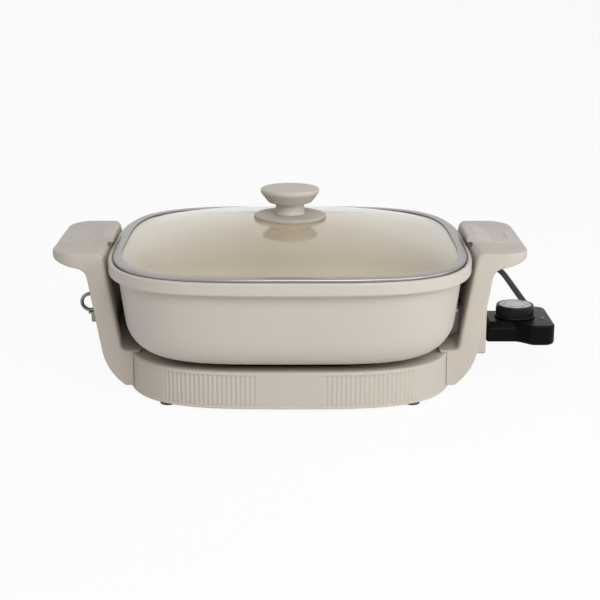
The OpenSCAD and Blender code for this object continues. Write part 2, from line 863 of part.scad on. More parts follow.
module lid_knob() {
  color(greige_knob)
  difference() {
    translate([0, 0, knob_z]) rotate_extrude() polygon(rounded([
      [0, 0, 0], [knob_neck_r + 1, 0, 0], [knob_neck_r, 2, 3], [knob_neck_r, knob_neck_h, 1.5],
      [knob_foot_r, knob_neck_h, 1.5], [knob_r, knob_neck_h + knob_grip_h - knob_edge_h, 3],
      [knob_r, knob_neck_h + knob_grip_h - knob_crown, 2.2], [0, knob_neck_h + knob_grip_h, 0]
    ]));
    translate([0, 0, knob_z - over]) cylinder(h = knob_bore_depth + over, r = knob_bore_r);
  }
}

module knob_flange() {
  color(flange_tone)
  translate([0, 0, flange_z]) rotate_extrude() polygon(rounded([
    [knob_bore_r + seam, 0, 0], [flange_r, 0, 0.6], [flange_r, flange_t, 1.6],
    [knob_bore_r + seam, flange_t, 0]
  ]));
}

module knob_washer() {
  color(steel)
  translate([0, 0, dome_top - glass_t - washer_t - seam])
    difference() {
      cylinder(h = washer_t, r = washer_r);
      translate([0, 0, -over]) cylinder(h = washer_t + 2 * over, r = knob_bore_r + seam);
    }
}

module knob_screw() {
  washer_low = dome_top - glass_t - washer_t - seam;
  color(steel)
  translate([0, 0, washer_low - screw_head_h])
    screw(screw_head_r, screw_head_h, knob_bore_r - 0.1, knob_z + knob_bore_depth - 1 - washer_low);
}

// Heat control

// Plan of the housing: a neck that widens to a head on slanted sides.
// The head is drawn in by d, the neck's sides by neck_d and its end by end_d.
function ctrl_ring(d, neck_d, end_d) =
  let (bend = neck_end + sqrt(2) * d - neck_d, head_at = head_x + (sqrt(2) - 1) * d)
  rounded([
    [ctrl_x + end_d, -neck_half + neck_d, max(0.5, 3 - end_d)],
    [bend, -neck_half + neck_d, 8 + d],
    [head_at, -head_half + d, max(2, 9 - d)],
    [ctrl_end - d, -head_half + d, max(2, 9 - d)],
    [ctrl_end - d, head_half - d, max(2, 9 - d)],
    [head_at, head_half - d, max(2, 9 - d)],
    [bend, neck_half - neck_d, 8 + d],
    [ctrl_x + end_d, neck_half - neck_d, max(0.5, 3 - end_d)]
  ], 5);
function ctrl_outline(d) = ctrl_ring(d, d, d);
// Share of the bevel's width that is gone at a height
function bevelled(z) = (z - ctrl_top + bevel_h) / bevel_h;
screw_spots = [
  [ctrl_x + 8, -neck_half + 8], [ctrl_x + 8, neck_half - 8],
  [ctrl_end - 12, -head_half + 9], [ctrl_end - 12, head_half - 9]
];
boss_r = 3.6;
ctrl_screw_r = 1.4;

module control_upper() {
  color(gloss_black)
  difference() {
    union() {
      difference() {
        loft(concat(
          [raised(ctrl_outline(0), ctrl_split + seam / 2), raised(ctrl_outline(0), ctrl_top - bevel_h)],
          [for (p = arc([ctrl_edge, ctrl_top - ctrl_edge], ctrl_edge, 180, 90, 4))
            raised(ctrl_ring(p[0], bevel_w * bevelled(p[1]), bevel_end * bevelled(p[1])), p[1])]
        ));
        translate([0, 0, ctrl_z])
          linear_extrude(ctrl_h - bevel_h - over) polygon(ctrl_outline(ctrl_wall + ctrl_edge / 3));
        translate([0, 0, ctrl_z])
          linear_extrude(ctrl_h - ctrl_wall) polygon(ctrl_outline(bevel_w + ctrl_wall));
      }
      for (p = screw_spots) translate([p[0], p[1], ctrl_split + seam / 2])
        cylinder(h = ctrl_top - ctrl_split - ctrl_wall, r = boss_r);
    }
    translate([dial_x, 0, ctrl_split]) cylinder(h = ctrl_h, r = spindle_r + spindle_clear);
    translate([lens_x, lens_y, ctrl_split]) cylinder(h = ctrl_h, r = lens_r + seam / 2);
    for (p = screw_spots) translate([p[0], p[1], ctrl_split - over])
      cylinder(h = 4 + over, r = ctrl_screw_r + seam / 2);
  }
}

module control_lower() {
  color(gloss_black)
  difference() {
    union() {
      difference() {
        loft(concat(
          [for (p = arc([ctrl_low_edge, ctrl_z + ctrl_low_edge], ctrl_low_edge, 270, 180, 4))
            raised(ctrl_outline(p[0]), p[1])],
          [raised(ctrl_outline(0), ctrl_split - seam / 2)]
        ));
        translate([0, 0, ctrl_z + ctrl_wall])
          linear_extrude(ctrl_h) polygon(ctrl_outline(ctrl_wall + ctrl_low_edge / 3));
      }
      for (p = screw_spots) translate([p[0], p[1], ctrl_z + 0.5])
        cylinder(h = ctrl_split - ctrl_z - 0.5 - seam / 2, r = boss_r);
    }
    rod_x(ctrl_x - over, ctrl_x + 8, 0, term_z, probe_r + seam);
    for (p = screw_spots) translate([p[0], p[1], ctrl_z - over]) {
      cylinder(h = ctrl_h, r = ctrl_screw_r + seam / 2);
      cylinder(h = 3 + over, r = 2.6 + seam);
    }
  }
}

module control_screws() {
  color(steel)
  for (p = screw_spots) translate([p[0], p[1], ctrl_z + 0.8])
    screw(2.6, 2.1, ctrl_screw_r, ctrl_split + 3 - ctrl_z - 2.9);
}

// Heat-proof block that carries the probe and the contacts into the collar
module control_nose() {
  color(phenolic)
  difference() {
    along_x(nose_x, ctrl_x) polygon(rounded([
      [-nose_half, ctrl_z, 2.5], [nose_half, ctrl_z, 2.5],
      [nose_half, ctrl_z + nose_h, 2.5], [-nose_half, ctrl_z + nose_h, 2.5]
    ]));
    rod_x(nose_x - over, ctrl_x + over, 0, term_z, probe_r + seam / 4);
    for (s = [-1, 1])
      rod_x(nose_x - over, nose_x + clip_len + 4, s * pin_half, term_z, clip_out_r + seam / 4);
  }
}

module contact_clips() {
  color(brass)
  for (s = [-1, 1]) difference() {
    rod_x(nose_x + 1.5, nose_x + clip_len + 3.5, s * pin_half, term_z, clip_out_r);
    rod_x(nose_x, nose_x + clip_len + 5, s * pin_half, term_z, clip_in_r);
    // Spring slit
    translate([nose_x, s * pin_half - 0.4, term_z]) cube([clip_len + 5, 0.8, 2 * clip_out_r]);
  }
}

module temperature_probe() {
  color(bright_metal) {
    rod_x(nose_x - probe_len + probe_r, thermo_x - seam, 0, term_z, probe_r);
    translate([nose_x - probe_len + probe_r, 0, term_z]) sphere(r = probe_r);
  }
}

module thermostat() {
  color("#8C867C")
  difference() {
    translate([thermo_x, -thermo_half, ctrl_z + ctrl_wall + seam / 2])
      cube([thermo_len, 2 * thermo_half, thermo_h]);
    translate([dial_x, 0, ctrl_z + ctrl_wall + 3]) cylinder(h = ctrl_h, r = spindle_r + spindle_clear);
  }
}

module indicator_lens() {
  color("#B3202A")
  translate([lens_x, lens_y, 0]) {
    translate([0, 0, ctrl_top - ctrl_wall]) cylinder(h = ctrl_wall + 0.2, r = lens_r);
    intersection() {
      translate([0, 0, ctrl_top + 0.2 - lens_r]) sphere(r = lens_r * 1.42);
      translate([0, 0, ctrl_top + 0.2]) cylinder(h = lens_r, r = lens_r);
    }
  }
}

// Dial

// Round outline with grip ribs
function ribbed(r, ribs, depth) =
  [for (i = [0:ribs - 1], q = [[0, 0], [0.3, 0], [0.5, 1], [0.8, 1]])
    let (a = 360 * (i + q[0]) / ribs) (r - q[1] * depth) * [cos(a), sin(a)]];

module dial() {
  rib_h = dial_h - 2.6;
  color(gloss_black)
  translate([dial_x, 0, dial_z])
  difference() {
    union() {
      linear_extrude(rib_h) polygon(ribbed(dial_r, dial_ribs, 0.6));
      cylinder(h = dial_skirt_h, r = dial_skirt_r);
      translate([0, 0, rib_h]) rotate_extrude() polygon(rounded([
        [0, 0, 0], [dial_r - 0.3, 0, 0], [dial_r - 0.6, dial_h - rib_h, 1.4], [0, dial_h - rib_h, 0]
      ]));
    }
    translate([0, 0, dial_h - face_t]) cylinder(h = face_t + over, r = face_r + seam / 2);
    translate([0, 0, -over]) cylinder(h = dial_h - face_t - 1.5 + over, r = spindle_r + seam / 4);
  }
}

module dial_face() {
  color("#BFBCB6")
  translate([dial_x, 0, dial_top - face_t]) cylinder(h = face_t, r = face_r);
}

module dial_spindle() {
  low = ctrl_z + ctrl_wall + 3.5;
  color(steel)
  translate([dial_x, 0, low]) cylinder(h = dial_top - face_t - 1.7 - low, r = spindle_r);
}

// Cord

// Tapered sleeve on the back of the control, ribbed so that it bends
relief_len = cord_exit[1] - head_half;
module strain_relief() {
  root_r = cord_d / 2 + 3.4;
  tip_r = cord_d / 2 + 1.2;
  groove_n = 4;
  groove = 0.7;
  color(rubber_black)
  translate([cord_exit[0], head_half, cord_exit[2]]) rotate([-90, 0, 0]) difference() {
    cylinder(h = relief_len, r1 = root_r, r2 = tip_r);
    for (i = [1:groove_n])
      let (at = i * relief_len / (groove_n + 1), r = root_r + (tip_r - root_r) * at / relief_len)
        translate([0, 0, at - 0.9]) difference() {
          cylinder(h = 1.8, r = r + 2);
          translate([0, 0, -over]) cylinder(h = 1.8 + 2 * over, r = r - groove);
        }
  }
}

// Ring of points round a path point, square to the path
function tube_ring(p, dir, r, sides) =
  let (
    side = unit(cross(abs(dir[2]) > 0.9 ? [1, 0, 0] : [0, 0, 1], dir)),
    up = cross(dir, side)
  )
  [for (i = [0:sides - 1]) let (a = 360 * i / sides) p + r * (cos(a) * side + sin(a) * up)];
function path_dir(path, i) =
  unit(path[min(i + 1, len(path) - 1)] - path[max(i - 1, 0)]);
module tube(path, r, sides) {
  loft([for (i = [0:len(path) - 1]) tube_ring(path[i], path_dir(path, i), r, sides)]);
}

module cord_lead() {
  color(rubber_black) tube(route, cord_d / 2, 10);
}

// The coil spirals in on the table, climbs one layer in half a turn, and spirals out again
function climb(u) = let (t = max(0, min(1, (u - climb_from) / 0.5))) t * t * (3 - 2 * t);
function coil_at(u) =
  let (
    r = coil_r - coil_pitch * min(u, coil_turns - u),
    a = 90 + 360 * u
  )
  [coil_mid[0] + r * cos(a), coil_mid[1] + r * sin(a), coil_low + coil_layer * climb(u)];
coil_points = [for (i = [0:coil_turns * loop_rings]) coil_at(i / loop_rings)];
tail_end = coil_points[len(coil_points) - 1] + [tail_len, 0, 0];
coil_path = concat([route[len(route) - 1]], [for (i = [1:len(coil_points) - 1]) coil_points[i]],
  [tail_end - [tail_len - cord_d, 0, 0], tail_end]);

module cord_coil() {
  color(rubber_black) tube(coil_path, cord_d / 2, 6);
}
// Least gap between turns, measured on points at least a third of a turn apart
function least(v, i = 0, best = 1e9) = i >= len(v) ? best : least(v, i + 1, min(best, v[i]));
coil_gaps = [for (i = [0:len(coil_points) - 1], j = [0:len(coil_points) - 1])
  if (j - i > loop_rings / 3) norm(coil_points[i] - coil_points[j]) - cord_d];
echo(least_coil_gap = least(coil_gaps));

// Strap round the two strands on the coil's right side
module cord_tie() {
  tie_u = coil_turns - 0.75;
  at = coil_at(tie_u);
  low = coil_low;
  inner = cord_d / 2 + tie_gap;
  outer = inner + tie_t;
  color(rubber_black)
  translate([at[0], at[1], 0]) along_y(tie_half) difference() {
    union() {
      for (z = [low, low + coil_layer]) translate([0, z]) circle(r = outer);
      translate([-outer, low]) square([2 * outer, coil_layer]);
    }
    for (z = [low, low + coil_layer]) translate([0, z]) circle(r = inner);
    translate([-inner, low]) square([2 * inner, coil_layer]);
  }
}

// Two-blade plug lying beside the coil
plug_len = 36;
plug_w = 25;
plug_h = 20;
blade_gap = 12.7;
blade_w = 6.35;
blade_t = 1.5;
blade_len = 17.5;
function plug_ring(x, w, h, r) =
  [for (p = rounded([[-w / 2, -h / 2, r], [w / 2, -h / 2, r], [w / 2, h / 2, r], [-w / 2, h / 2, r]], 4))
    tail_end + [x, p[0], p[1]]];

module plug_body() {
  color(rubber_black) loft([
    plug_ring(0, cord_d + 3, cord_d + 3, 4), plug_ring(9, cord_d + 6, cord_d + 5, 4.5),
    plug_ring(16, plug_w - 5, plug_h - 4, 5), plug_ring(22, plug_w, plug_h, 5),
    plug_ring(plug_len - 1.5, plug_w, plug_h, 5), plug_ring(plug_len, plug_w - 3, plug_h - 3, 4)
  ]);
}

module plug_blades() {
  color(brass)
  for (s = [-1, 1]) translate(tail_end + [plug_len, s * blade_gap / 2 - blade_t / 2, -blade_w / 2])
    cube([blade_len, blade_t, blade_w]);
}

base_ring();
base_tray();
heat_shield();
rubber_feet();
tray_screws();
left_bracket();
right_bracket();
bracket_screws();
control_collar();
keeper_ring();
left_latch();
right_latch();
pan();
heating_element();
terminal_pins();
probe_sleeve();
terminal_guard();
lid_glass();
lid_ring();
lid_knob();
knob_flange();
knob_screw();
knob_washer();
control_upper();
control_lower();
control_nose();
contact_clips();
temperature_probe();
thermostat();
control_screws();
indicator_lens();
dial();
dial_face();
dial_spindle();
strain_relief();
cord_lead();
cord_coil();
cord_tie();
plug_body();
plug_blades();
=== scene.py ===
import math

import bmesh
import bpy
from mathutils import Matrix, Vector


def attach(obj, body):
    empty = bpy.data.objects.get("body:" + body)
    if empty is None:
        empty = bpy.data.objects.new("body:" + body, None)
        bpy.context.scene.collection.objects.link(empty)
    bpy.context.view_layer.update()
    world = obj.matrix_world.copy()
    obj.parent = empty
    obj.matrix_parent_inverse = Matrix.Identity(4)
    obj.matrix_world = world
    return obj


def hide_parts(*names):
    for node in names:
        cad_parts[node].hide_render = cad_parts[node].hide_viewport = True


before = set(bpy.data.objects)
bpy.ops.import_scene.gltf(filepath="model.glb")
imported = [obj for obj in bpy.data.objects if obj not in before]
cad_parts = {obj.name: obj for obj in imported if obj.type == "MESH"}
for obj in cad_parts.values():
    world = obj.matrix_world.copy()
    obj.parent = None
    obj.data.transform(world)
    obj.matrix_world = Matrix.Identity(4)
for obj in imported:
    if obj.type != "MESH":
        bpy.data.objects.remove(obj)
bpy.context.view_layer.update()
scene = bpy.context.scene
scene.view_settings.view_transform = "Standard"
mm = 0.001  # sizes below are in millimetres, Blender's are in metres
smoothAngle = 38  # degrees, edges sharper than this stay crisp
weldGap = 0.002
dialMid = (203.438, 0)
print("frame loaded:", len(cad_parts), "nodes")

photoCamera = {
    "place": (0, -1250, 391.7),
    "pitch": 14.75,  # degrees below level
    "lens": 85.86,
    "sensor": 36,
    "shiftX": 0.0167,
    "clip": (0.05, 60),  # metres
}


def makeCamera(look):
    data = bpy.data.cameras.new("photoCamera")
    data.lens = look["lens"]
    data.sensor_width = look["sensor"]
    data.shift_x = look["shiftX"]
    data.clip_start, data.clip_end = look["clip"]
    eye = bpy.data.objects.new("photoCamera", data)
    eye.location = Vector(look["place"]) * mm
    eye.rotation_euler = (math.radians(90 - look["pitch"]), 0, 0)
    scene.collection.objects.link(eye)
    scene.camera = eye


makeCamera(photoCamera)

# mesh helpers


def link(name, mesh):
    piece = bpy.data.objects.new(name, mesh)
    scene.collection.objects.link(piece)
    return piece


def shadeSmooth(piece, angle=smoothAngle):
    piece.data.shade_smooth()
    piece.data.set_sharp_from_angle(angle=math.radians(angle))
    return piece


def closeUp(piece, angle=smoothAngle):
    bm = bmesh.new()
    bm.from_mesh(piece.data)
    bmesh.ops.remove_doubles(bm, verts=bm.verts, dist=weldGap * mm)
    bmesh.ops.recalc_face_normals(bm, faces=bm.faces)
    bm.to_mesh(piece.data)
    bm.free()
    return shadeSmooth(piece, angle)


def meshFrom(name, points, faces, angle=smoothAngle):
    mesh = bpy.data.meshes.new(name)
    mesh.from_pydata([Vector(p) * mm for p in points], [], faces)
    mesh.update()
    return closeUp(link(name, mesh), angle)


def loftFaces(ringCount, pointCount, closed):
    faces = []
    for i in range(ringCount if closed else ringCount - 1):
        k = (i + 1) % ringCount
        for j in range(pointCount):
            n = (j + 1) % pointCount
            faces.append((i * pointCount + j, i * pointCount + n, k * pointCount + n, k * pointCount + j))
    if not closed:
        faces.append(tuple(range(pointCount)))
        faces.append(tuple((ringCount - 1) * pointCount + j for j in range(pointCount)))
    return faces


def loft(name, rings, closed=False, angle=smoothAngle):
    points = [p for ring in rings for p in ring]
    return meshFrom(name, points, loftFaces(len(rings), len(rings[0]), closed), angle)


def aroundZ(centre, r, z, steps):
    turn = [2 * math.pi * i / steps for i in range(steps)]
    return [(centre[0] + r * math.cos(a), centre[1] + r * math.sin(a), z) for a in turn]


def turned(name, profile, centre=(0, 0), steps=96):
    return loft(name, [aroundZ(centre, r, z, steps) for r, z in profile])


def swept(name, section, centre, steps):
    # closed section taken once round the Z axis
    return loft(name, [aroundZ(centre, r, z, steps) for r, z in section], closed=True)


def arcPoints(mid, r, fromDeg, toDeg, steps):
    turn = [math.radians(fromDeg + (toDeg - fromDeg) * i / steps) for i in range(steps + 1)]
    return [(mid[0] + r * math.cos(a), mid[1] + r * math.sin(a)) for a in turn]


def softCorner(before, corner, after, r, steps):
    v = Vector(corner)
    a = (Vector(before) - v).normalized()
    b = (Vector(after) - v).normalized()
    half = a.angle(b) / 2
    if r <= 0:
        return [tuple(v)]
    if half > math.radians(89.5):
        return [tuple(v)] * (steps + 1)
    mid = v + (a + b).normalized() * (r / math.sin(half))
    start = v + a * (r / math.tan(half)) - mid
    stop = v + b * (r / math.tan(half)) - mid
    a0 = math.atan2(start.y, start.x)
    sweep = math.atan2(stop.y, stop.x) - a0
    sweep = (sweep + math.pi) % (2 * math.pi) - math.pi
    return arcPoints(mid, r, math.degrees(a0), math.degrees(a0 + sweep), steps)


def softOutline(corners, steps=6, closed=True):
    out = []
    for i, (x, y, r) in enumerate(corners):
        if not closed and i in (0, len(corners) - 1):
            out.append((x, y))
            continue
        before = corners[i - 1][:2]
        after = corners[(i + 1) % len(corners)][:2]
        out.extend(softCorner(before, (x, y), after, r, steps))
    return out


def drawnIn(corners, d):
    # every side moved inwards by d, outer corners tightened and inner corners eased
    after = corners[1:] + corners[:1]
    area = sum(a[0] * b[1] - b[0] * a[1] for a, b in zip(corners, after))
    side = 1 if area > 0 else -1
    moved = []
    for i, (x, y, r) in enumerate(corners):
        p = Vector(corners[i - 1][:2])
        v = Vector((x, y))
        q = Vector(after[i][:2])
        e1 = (v - p).normalized()
        e2 = (q - v).normalized()
        n1 = Vector((-e1.y, e1.x)) * side
        n2 = Vector((-e2.y, e2.x)) * side
        cross = (e1.x * e2.y - e1.y * e2.x) * side
        shift = (n1 + n2) * (d / (1 + n1.dot(n2)))
        radius = 0 if r <= 0 else max(0.05, r - d) if cross > 0 else r + d
        moved.append((x + shift.x, y + shift.y, radius))
    return moved


def roundedSquare(halfX, halfY, power, count):
    # points spaced evenly along the outline, starting on +X
    fine = 2400
    line = []
    for i in range(fine + 1):
        a = 2 * math.pi * i / fine
        c, s = math.cos(a), math.sin(a)
        x = math.copysign(abs(c) ** (2 / power), c) * halfX
        y = math.copysign(abs(s) ** (2 / power), s) * halfY
        line.append((x, y))
    run = [0.0]
    for a, b in zip(line, line[1:]):
        run.append(run[-1] + math.hypot(b[0] - a[0], b[1] - a[1]))
    out = []
    k = 0
    for i in range(count):
        want = run[-1] * i / count
        while run[k + 1] < want:
            k += 1
        t = (want - run[k]) / (run[k + 1] - run[k])
        (x0, y0), (x1, y1) = line[k], line[k + 1]
        out.append((x0 + t * (x1 - x0), y0 + t * (y1 - y0)))
    return out


def plainMesh(piece):
    depsgraph = bpy.context.evaluated_depsgraph_get()
    return bpy.data.meshes.new_from_object(piece.evaluated_get(depsgraph))


def applyAll(piece):
    mesh = plainMesh(piece)
    piece.modifiers.clear()
    piece.data = mesh
    return piece


def joined(name, pieces):
    bm = bmesh.new()
    for p in pieces:
        bm.from_mesh(p.data)
    mesh = bpy.data.meshes.new(name)
    bm.to_mesh(mesh)
    bm.free()
    for p in pieces:
        bpy.data.objects.remove(p)
    return shadeSmooth(link(name, mesh))


def layer(axis, a, outline):
    # a flat outline set at a along one axis
    if axis == "x":
        return [(a, p, q) for p, q in outline]
    if axis == "y":
        return [(p, a, q) for p, q in outline]
    return [(p, q, a) for p, q in outline]


def prism(outline, axis, low, high):
    return loft("cutter", [layer(axis, a, outline) for a in (low, high)])


def block(low, high):
    (x0, y0, z0), (x1, y1, z1) = low, high
    return prism([(x0, y0), (x1, y0), (x1, y1), (x0, y1)], "z", z0, z1)


def boxCorners(half, low, top, r):
    return [(-half, low, r), (half, low, r), (half, top, r), (-half, top, r)]


def roundEnd(at, r, side, steps):
    # stations of a rounded end, from its flat part outwards
    turn = [math.pi / 2 * i / steps for i in range(steps + 1)]
    return [(at - side * r * (1 - math.sin(a)), r * (1 - math.cos(a))) for a in turn]


def edgedBar(name, corners, axis, stations, steps):
    # each station is a place along the axis, and how far the outline is drawn in there
    return loft(name, [layer(axis, a, softOutline(drawnIn(corners, d), steps)) for a, d in stations])


def cutAway(piece, *cutters):
    for cutter in cutters:
        step = piece.modifiers.new("cut", "BOOLEAN")
        step.operation = "DIFFERENCE"
        step.solver = "EXACT"
        step.object = cutter
        applyAll(piece)
        bpy.data.objects.remove(cutter)
    return shadeSmooth(piece)


def mirrored(piece, name):
    mesh = piece.data.copy()
    mesh.transform(Matrix.Scale(-1, 4, (1, 0, 0)))
    mesh.flip_normals()
    return link(name, mesh)


# node helpers


def newMaterial(name):
    material = bpy.data.materials.new(name)
    material.use_nodes = True
    tree = material.node_tree
    return material, tree, tree.nodes["Principled BSDF"]


def tone(red, green, blue):
    def linear(c):
        c = c / 255
        return c / 12.92 if c <= 0.04045 else ((c + 0.055) / 1.055) ** 2.4

    return (linear(red), linear(green), linear(blue), 1)


def feed(tree, sockets, values):
    # another node's socket is linked, anything else is set as the value
    for key, value in values.items():
        if isinstance(value, bpy.types.NodeSocket):
            tree.links.new(value, sockets[key])
        else:
            sockets[key].default_value = value


def setNode(tree, kind, values=None, **settings):
    node = tree.nodes.new(kind)
    for key, value in settings.items():
        setattr(node, key, value)
    feed(tree, node.inputs, values or {})
    return node


def calc(tree, operation, *values, **settings):
    node = setNode(tree, "ShaderNodeMath", dict(enumerate(values)), operation=operation, **settings)
    return node.outputs[0]


def scaled(tree, vector, factor):
    return setNode(tree, "ShaderNodeVectorMath", {0: vector, "Scale": factor}, operation="SCALE").outputs[0]


def objectPoint(tree):
    return setNode(tree, "ShaderNodeTexCoord").outputs["Object"]


def noise(tree, where, scale, detail, rough=0.5):
    values = {"Vector": where, "Scale": scale, "Detail": detail, "Roughness": rough}
    return setNode(tree, "ShaderNodeTexNoise", values).outputs["Fac"]


def newGroup(name, inputs, outputs):
    group = bpy.data.node_groups.new(name, "ShaderNodeTree")
    for label, kind, value in inputs:
        socket = group.interface.new_socket(label, in_out="INPUT", socket_type="NodeSocket" + kind)
        socket.default_value = value
    for label, kind in outputs:
        group.interface.new_socket(label, in_out="OUTPUT", socket_type="NodeSocket" + kind)
    return group, group.nodes.new("NodeGroupInput").outputs, group.nodes.new("NodeGroupOutput").inputs


def mouldedSurface():
    # slow drift of tone, smudged gloss and a fine grain
    group, given, result = newGroup(
        "mouldedSurface",
        [
            ("Colour", "Color", (0.5, 0.5, 0.5, 1)), ("Tone Drift", "Float", 0.04), ("Gloss", "Float", 0.4),
            ("Gloss Drift", "Float", 0.08), ("Grain Scale", "Float", 1500),
        ],
        [("Colour", "Color"), ("Roughness", "Float"), ("Height", "Float")],
    )
    where = objectPoint(group)
    drift = calc(group, "SUBTRACT", noise(group, where, 14, 3), 0.5)
    around = calc(group, "MULTIPLY_ADD", drift, given["Tone Drift"], 1)
    smudge = calc(group, "SUBTRACT", noise(group, where, 55, 4, 0.62), 0.5)
    gloss = calc(group, "MULTIPLY_ADD", smudge, given["Gloss Drift"], given["Gloss"])
    grain = noise(group, where, given["Grain Scale"], 2)
    tinted = scaled(group, given["Colour"], around)
    feed(group, result, {"Colour": tinted, "Roughness": gloss, "Height": grain})
    return group


def rubbedEdges():
    # convex edges go slightly lighter where hands and cloths pass
    group, given, result = newGroup(
        "rubbedEdges",
        [
            ("Colour", "Color", (0.5, 0.5, 0.5, 1)), ("Edge Colour", "Color", (0.8, 0.8, 0.8, 1)),
            ("Amount", "Float", 0.3),
        ],
        [("Colour", "Color")],
    )
    sharp = setNode(group, "ShaderNodeNewGeometry").outputs["Pointiness"]
    limits = {0: sharp, 1: 0.51, 2: 0.6, 3: 0, 4: 1}
    edge = setNode(group, "ShaderNodeMapRange", limits, interpolation_type="SMOOTHSTEP").outputs[0]
    broken = calc(group, "MULTIPLY", edge, noise(group, objectPoint(group), 130, 3))
    share = calc(group, "MULTIPLY", broken, given["Amount"], use_clamp=True)
    colours = {"Factor": share, 6: given["Colour"], 7: given["Edge Colour"]}
    feed(group, result, {"Colour": setNode(group, "ShaderNodeMix", colours, data_type="RGBA").outputs[2]})
    return group


def brushedRound():
    # fine scratches that run round the Z axis at a centre
    group, given, result = newGroup(
        "brushedRound",
        [("Centre", "Vector", (0, 0, 0)), ("Lines", "Float", 900), ("Contrast", "Float", 0.2)],
        [("Shade", "Float"), ("Height", "Float")],
    )
    points = {0: objectPoint(group), 1: given["Centre"]}
    moved = setNode(group, "ShaderNodeVectorMath", points, operation="SUBTRACT").outputs[0]
    parts = setNode(group, "ShaderNodeSeparateXYZ", {0: moved}).outputs
    flat = setNode(group, "ShaderNodeCombineXYZ", {0: parts[0], 1: parts[1]}).outputs[0]
    reach = setNode(group, "ShaderNodeVectorMath", {0: flat}, operation="LENGTH").outputs["Value"]
    rows = calc(group, "MULTIPLY", reach, given["Lines"])
    turn = calc(group, "ARCTAN2", parts[1], parts[0])
    polar = setNode(group, "ShaderNodeCombineXYZ", {0: rows, 1: turn}).outputs[0]
    scratch = noise(group, polar, 1, 5, 0.7)
    shade = calc(group, "MULTIPLY_ADD", calc(group, "SUBTRACT", scratch, 0.5), given["Contrast"], 1)
    feed(group, result, {"Shade": shade, "Height": scratch})
    return group


mouldedGroup = mouldedSurface()
rubbedGroup = rubbedEdges()
brushedGroup = brushedRound()


def addGroup(tree, group, values):
    return setNode(tree, "ShaderNodeGroup", values, node_tree=group).outputs


def mouldedFinish(name, colour, look):
    # plastics, rubbers, coatings and plain metals share these nodes, each with its own values
    material, tree, shader = newMaterial(name)
    surface = addGroup(tree, mouldedGroup, {
        "Colour": tone(*colour),
        "Tone Drift": look.get("drift", 0.05),
        "Gloss": look["rough"],
        "Gloss Drift": 0.1,
        "Grain Scale": look.get("grain", 1500),
    })
    lighter = tone(*[min(255, c + look.get("edge", 14)) for c in colour])
    rubbing = {"Colour": surface["Colour"], "Edge Colour": lighter, "Amount": look.get("rub", 0.5)}
    relief = {"Strength": look.get("bump", 0.12), "Distance": 0.1 * mm, "Height": surface["Height"]}
    feed(tree, shader.inputs, {
        "Base Color": addGroup(tree, rubbedGroup, rubbing)["Colour"],
        "Roughness": surface["Roughness"],
        "Normal": setNode(tree, "ShaderNodeBump", relief).outputs["Normal"],
        "Metallic": look.get("metal", 0),
        "Specular IOR Level": look.get("shine", 0.5),
        "Coat Weight": look.get("coat", 0),
        "Coat Roughness": 0.1,
    })
    return material


mattPlastic = {"rough": 0.5, "shine": 0.22, "drift": 0.03, "bump": 0.1, "grain": 1800}
finishes = {
    "panCoating": (
        (206, 198, 189), {**mattPlastic, "rough": 0.42, "shine": 0.4, "bump": 0.05, "grain": 2400},
    ),
    "basePlastic": ((203, 195, 185), mattPlastic),
    "latchPlastic": ((204, 196, 186), {**mattPlastic, "rough": 0.46, "bump": 0.08}),
    "knobPlastic": ((208, 200, 190), mattPlastic),
    "flangePlastic": ((190, 182, 173), mattPlastic),
    "collarPlastic": ((205, 198, 188), {**mattPlastic, "shine": 0.35}),
    "controlBlack": ((12, 12, 13), {"rough": 0.32, "shine": 0.06, "drift": 0.2, "edge": 18, "bump": 0.03}),
    "dialBlack": ((19, 19, 20), {"rough": 0.3, "shine": 0.16, "drift": 0.2, "edge": 22, "bump": 0.06}),
    "dialPrint": ((52, 50, 49), {"rough": 0.6, "rub": 0}),
    "indicatorRed": ((126, 22, 24), {"rough": 0.25, "coat": 0.2, "drift": 0.1, "rub": 0}),
    "footRubber": ((96, 92, 89), {"rough": 0.75, "shine": 0.2, "bump": 0.3, "grain": 1200}),
    "cordRubber": ((24, 24, 24), {"rough": 0.5, "shine": 0.08, "drift": 0.12, "bump": 0.15, "grain": 1400}),
    "tieRubber": ((58, 57, 56), {"rough": 0.6, "shine": 0.3, "bump": 0.2}),
    # black heat shield under the pan; its dark colour is also painted shade, standing in for the shadow in
    # the gap under the pan
    "shieldBlackAndShade": ((34, 30, 27), {"rough": 0.6, "shine": 0.25, "drift": 0.2, "bump": 0.2}),
    "phenolicBlack": ((40, 32, 28), {"rough": 0.45, "drift": 0.25, "bump": 0.2}),
    "thermostatGrey": ((140, 134, 124), {"rough": 0.5, "drift": 0.1}),
    "guardMetal": ((214, 211, 206), {"rough": 0.36, "metal": 0.5, "drift": 0.1, "bump": 0.1, "edge": 30}),
    "keeperMetal": ((128, 125, 120), {"rough": 0.34, "metal": 1, "drift": 0.15, "bump": 0.1, "edge": 40}),
    "screwSteel": ((168, 165, 160), {"rough": 0.3, "metal": 1, "drift": 0.2, "bump": 0.1, "edge": 40}),
    "brightMetal": ((196, 194, 190), {"rough": 0.28, "metal": 1, "drift": 0.15, "bump": 0.12, "edge": 30}),
    "elementSteel": ((112, 106, 102), {"rough": 0.42, "metal": 1, "drift": 0.35, "bump": 0.2, "edge": 30}),
    "contactBrass": ((190, 152, 82), {"rough": 0.3, "metal": 1, "drift": 0.2, "bump": 0.1, "edge": 30}),
}
paint = {name: mouldedFinish(name, colour, look) for name, (colour, look) in finishes.items()}


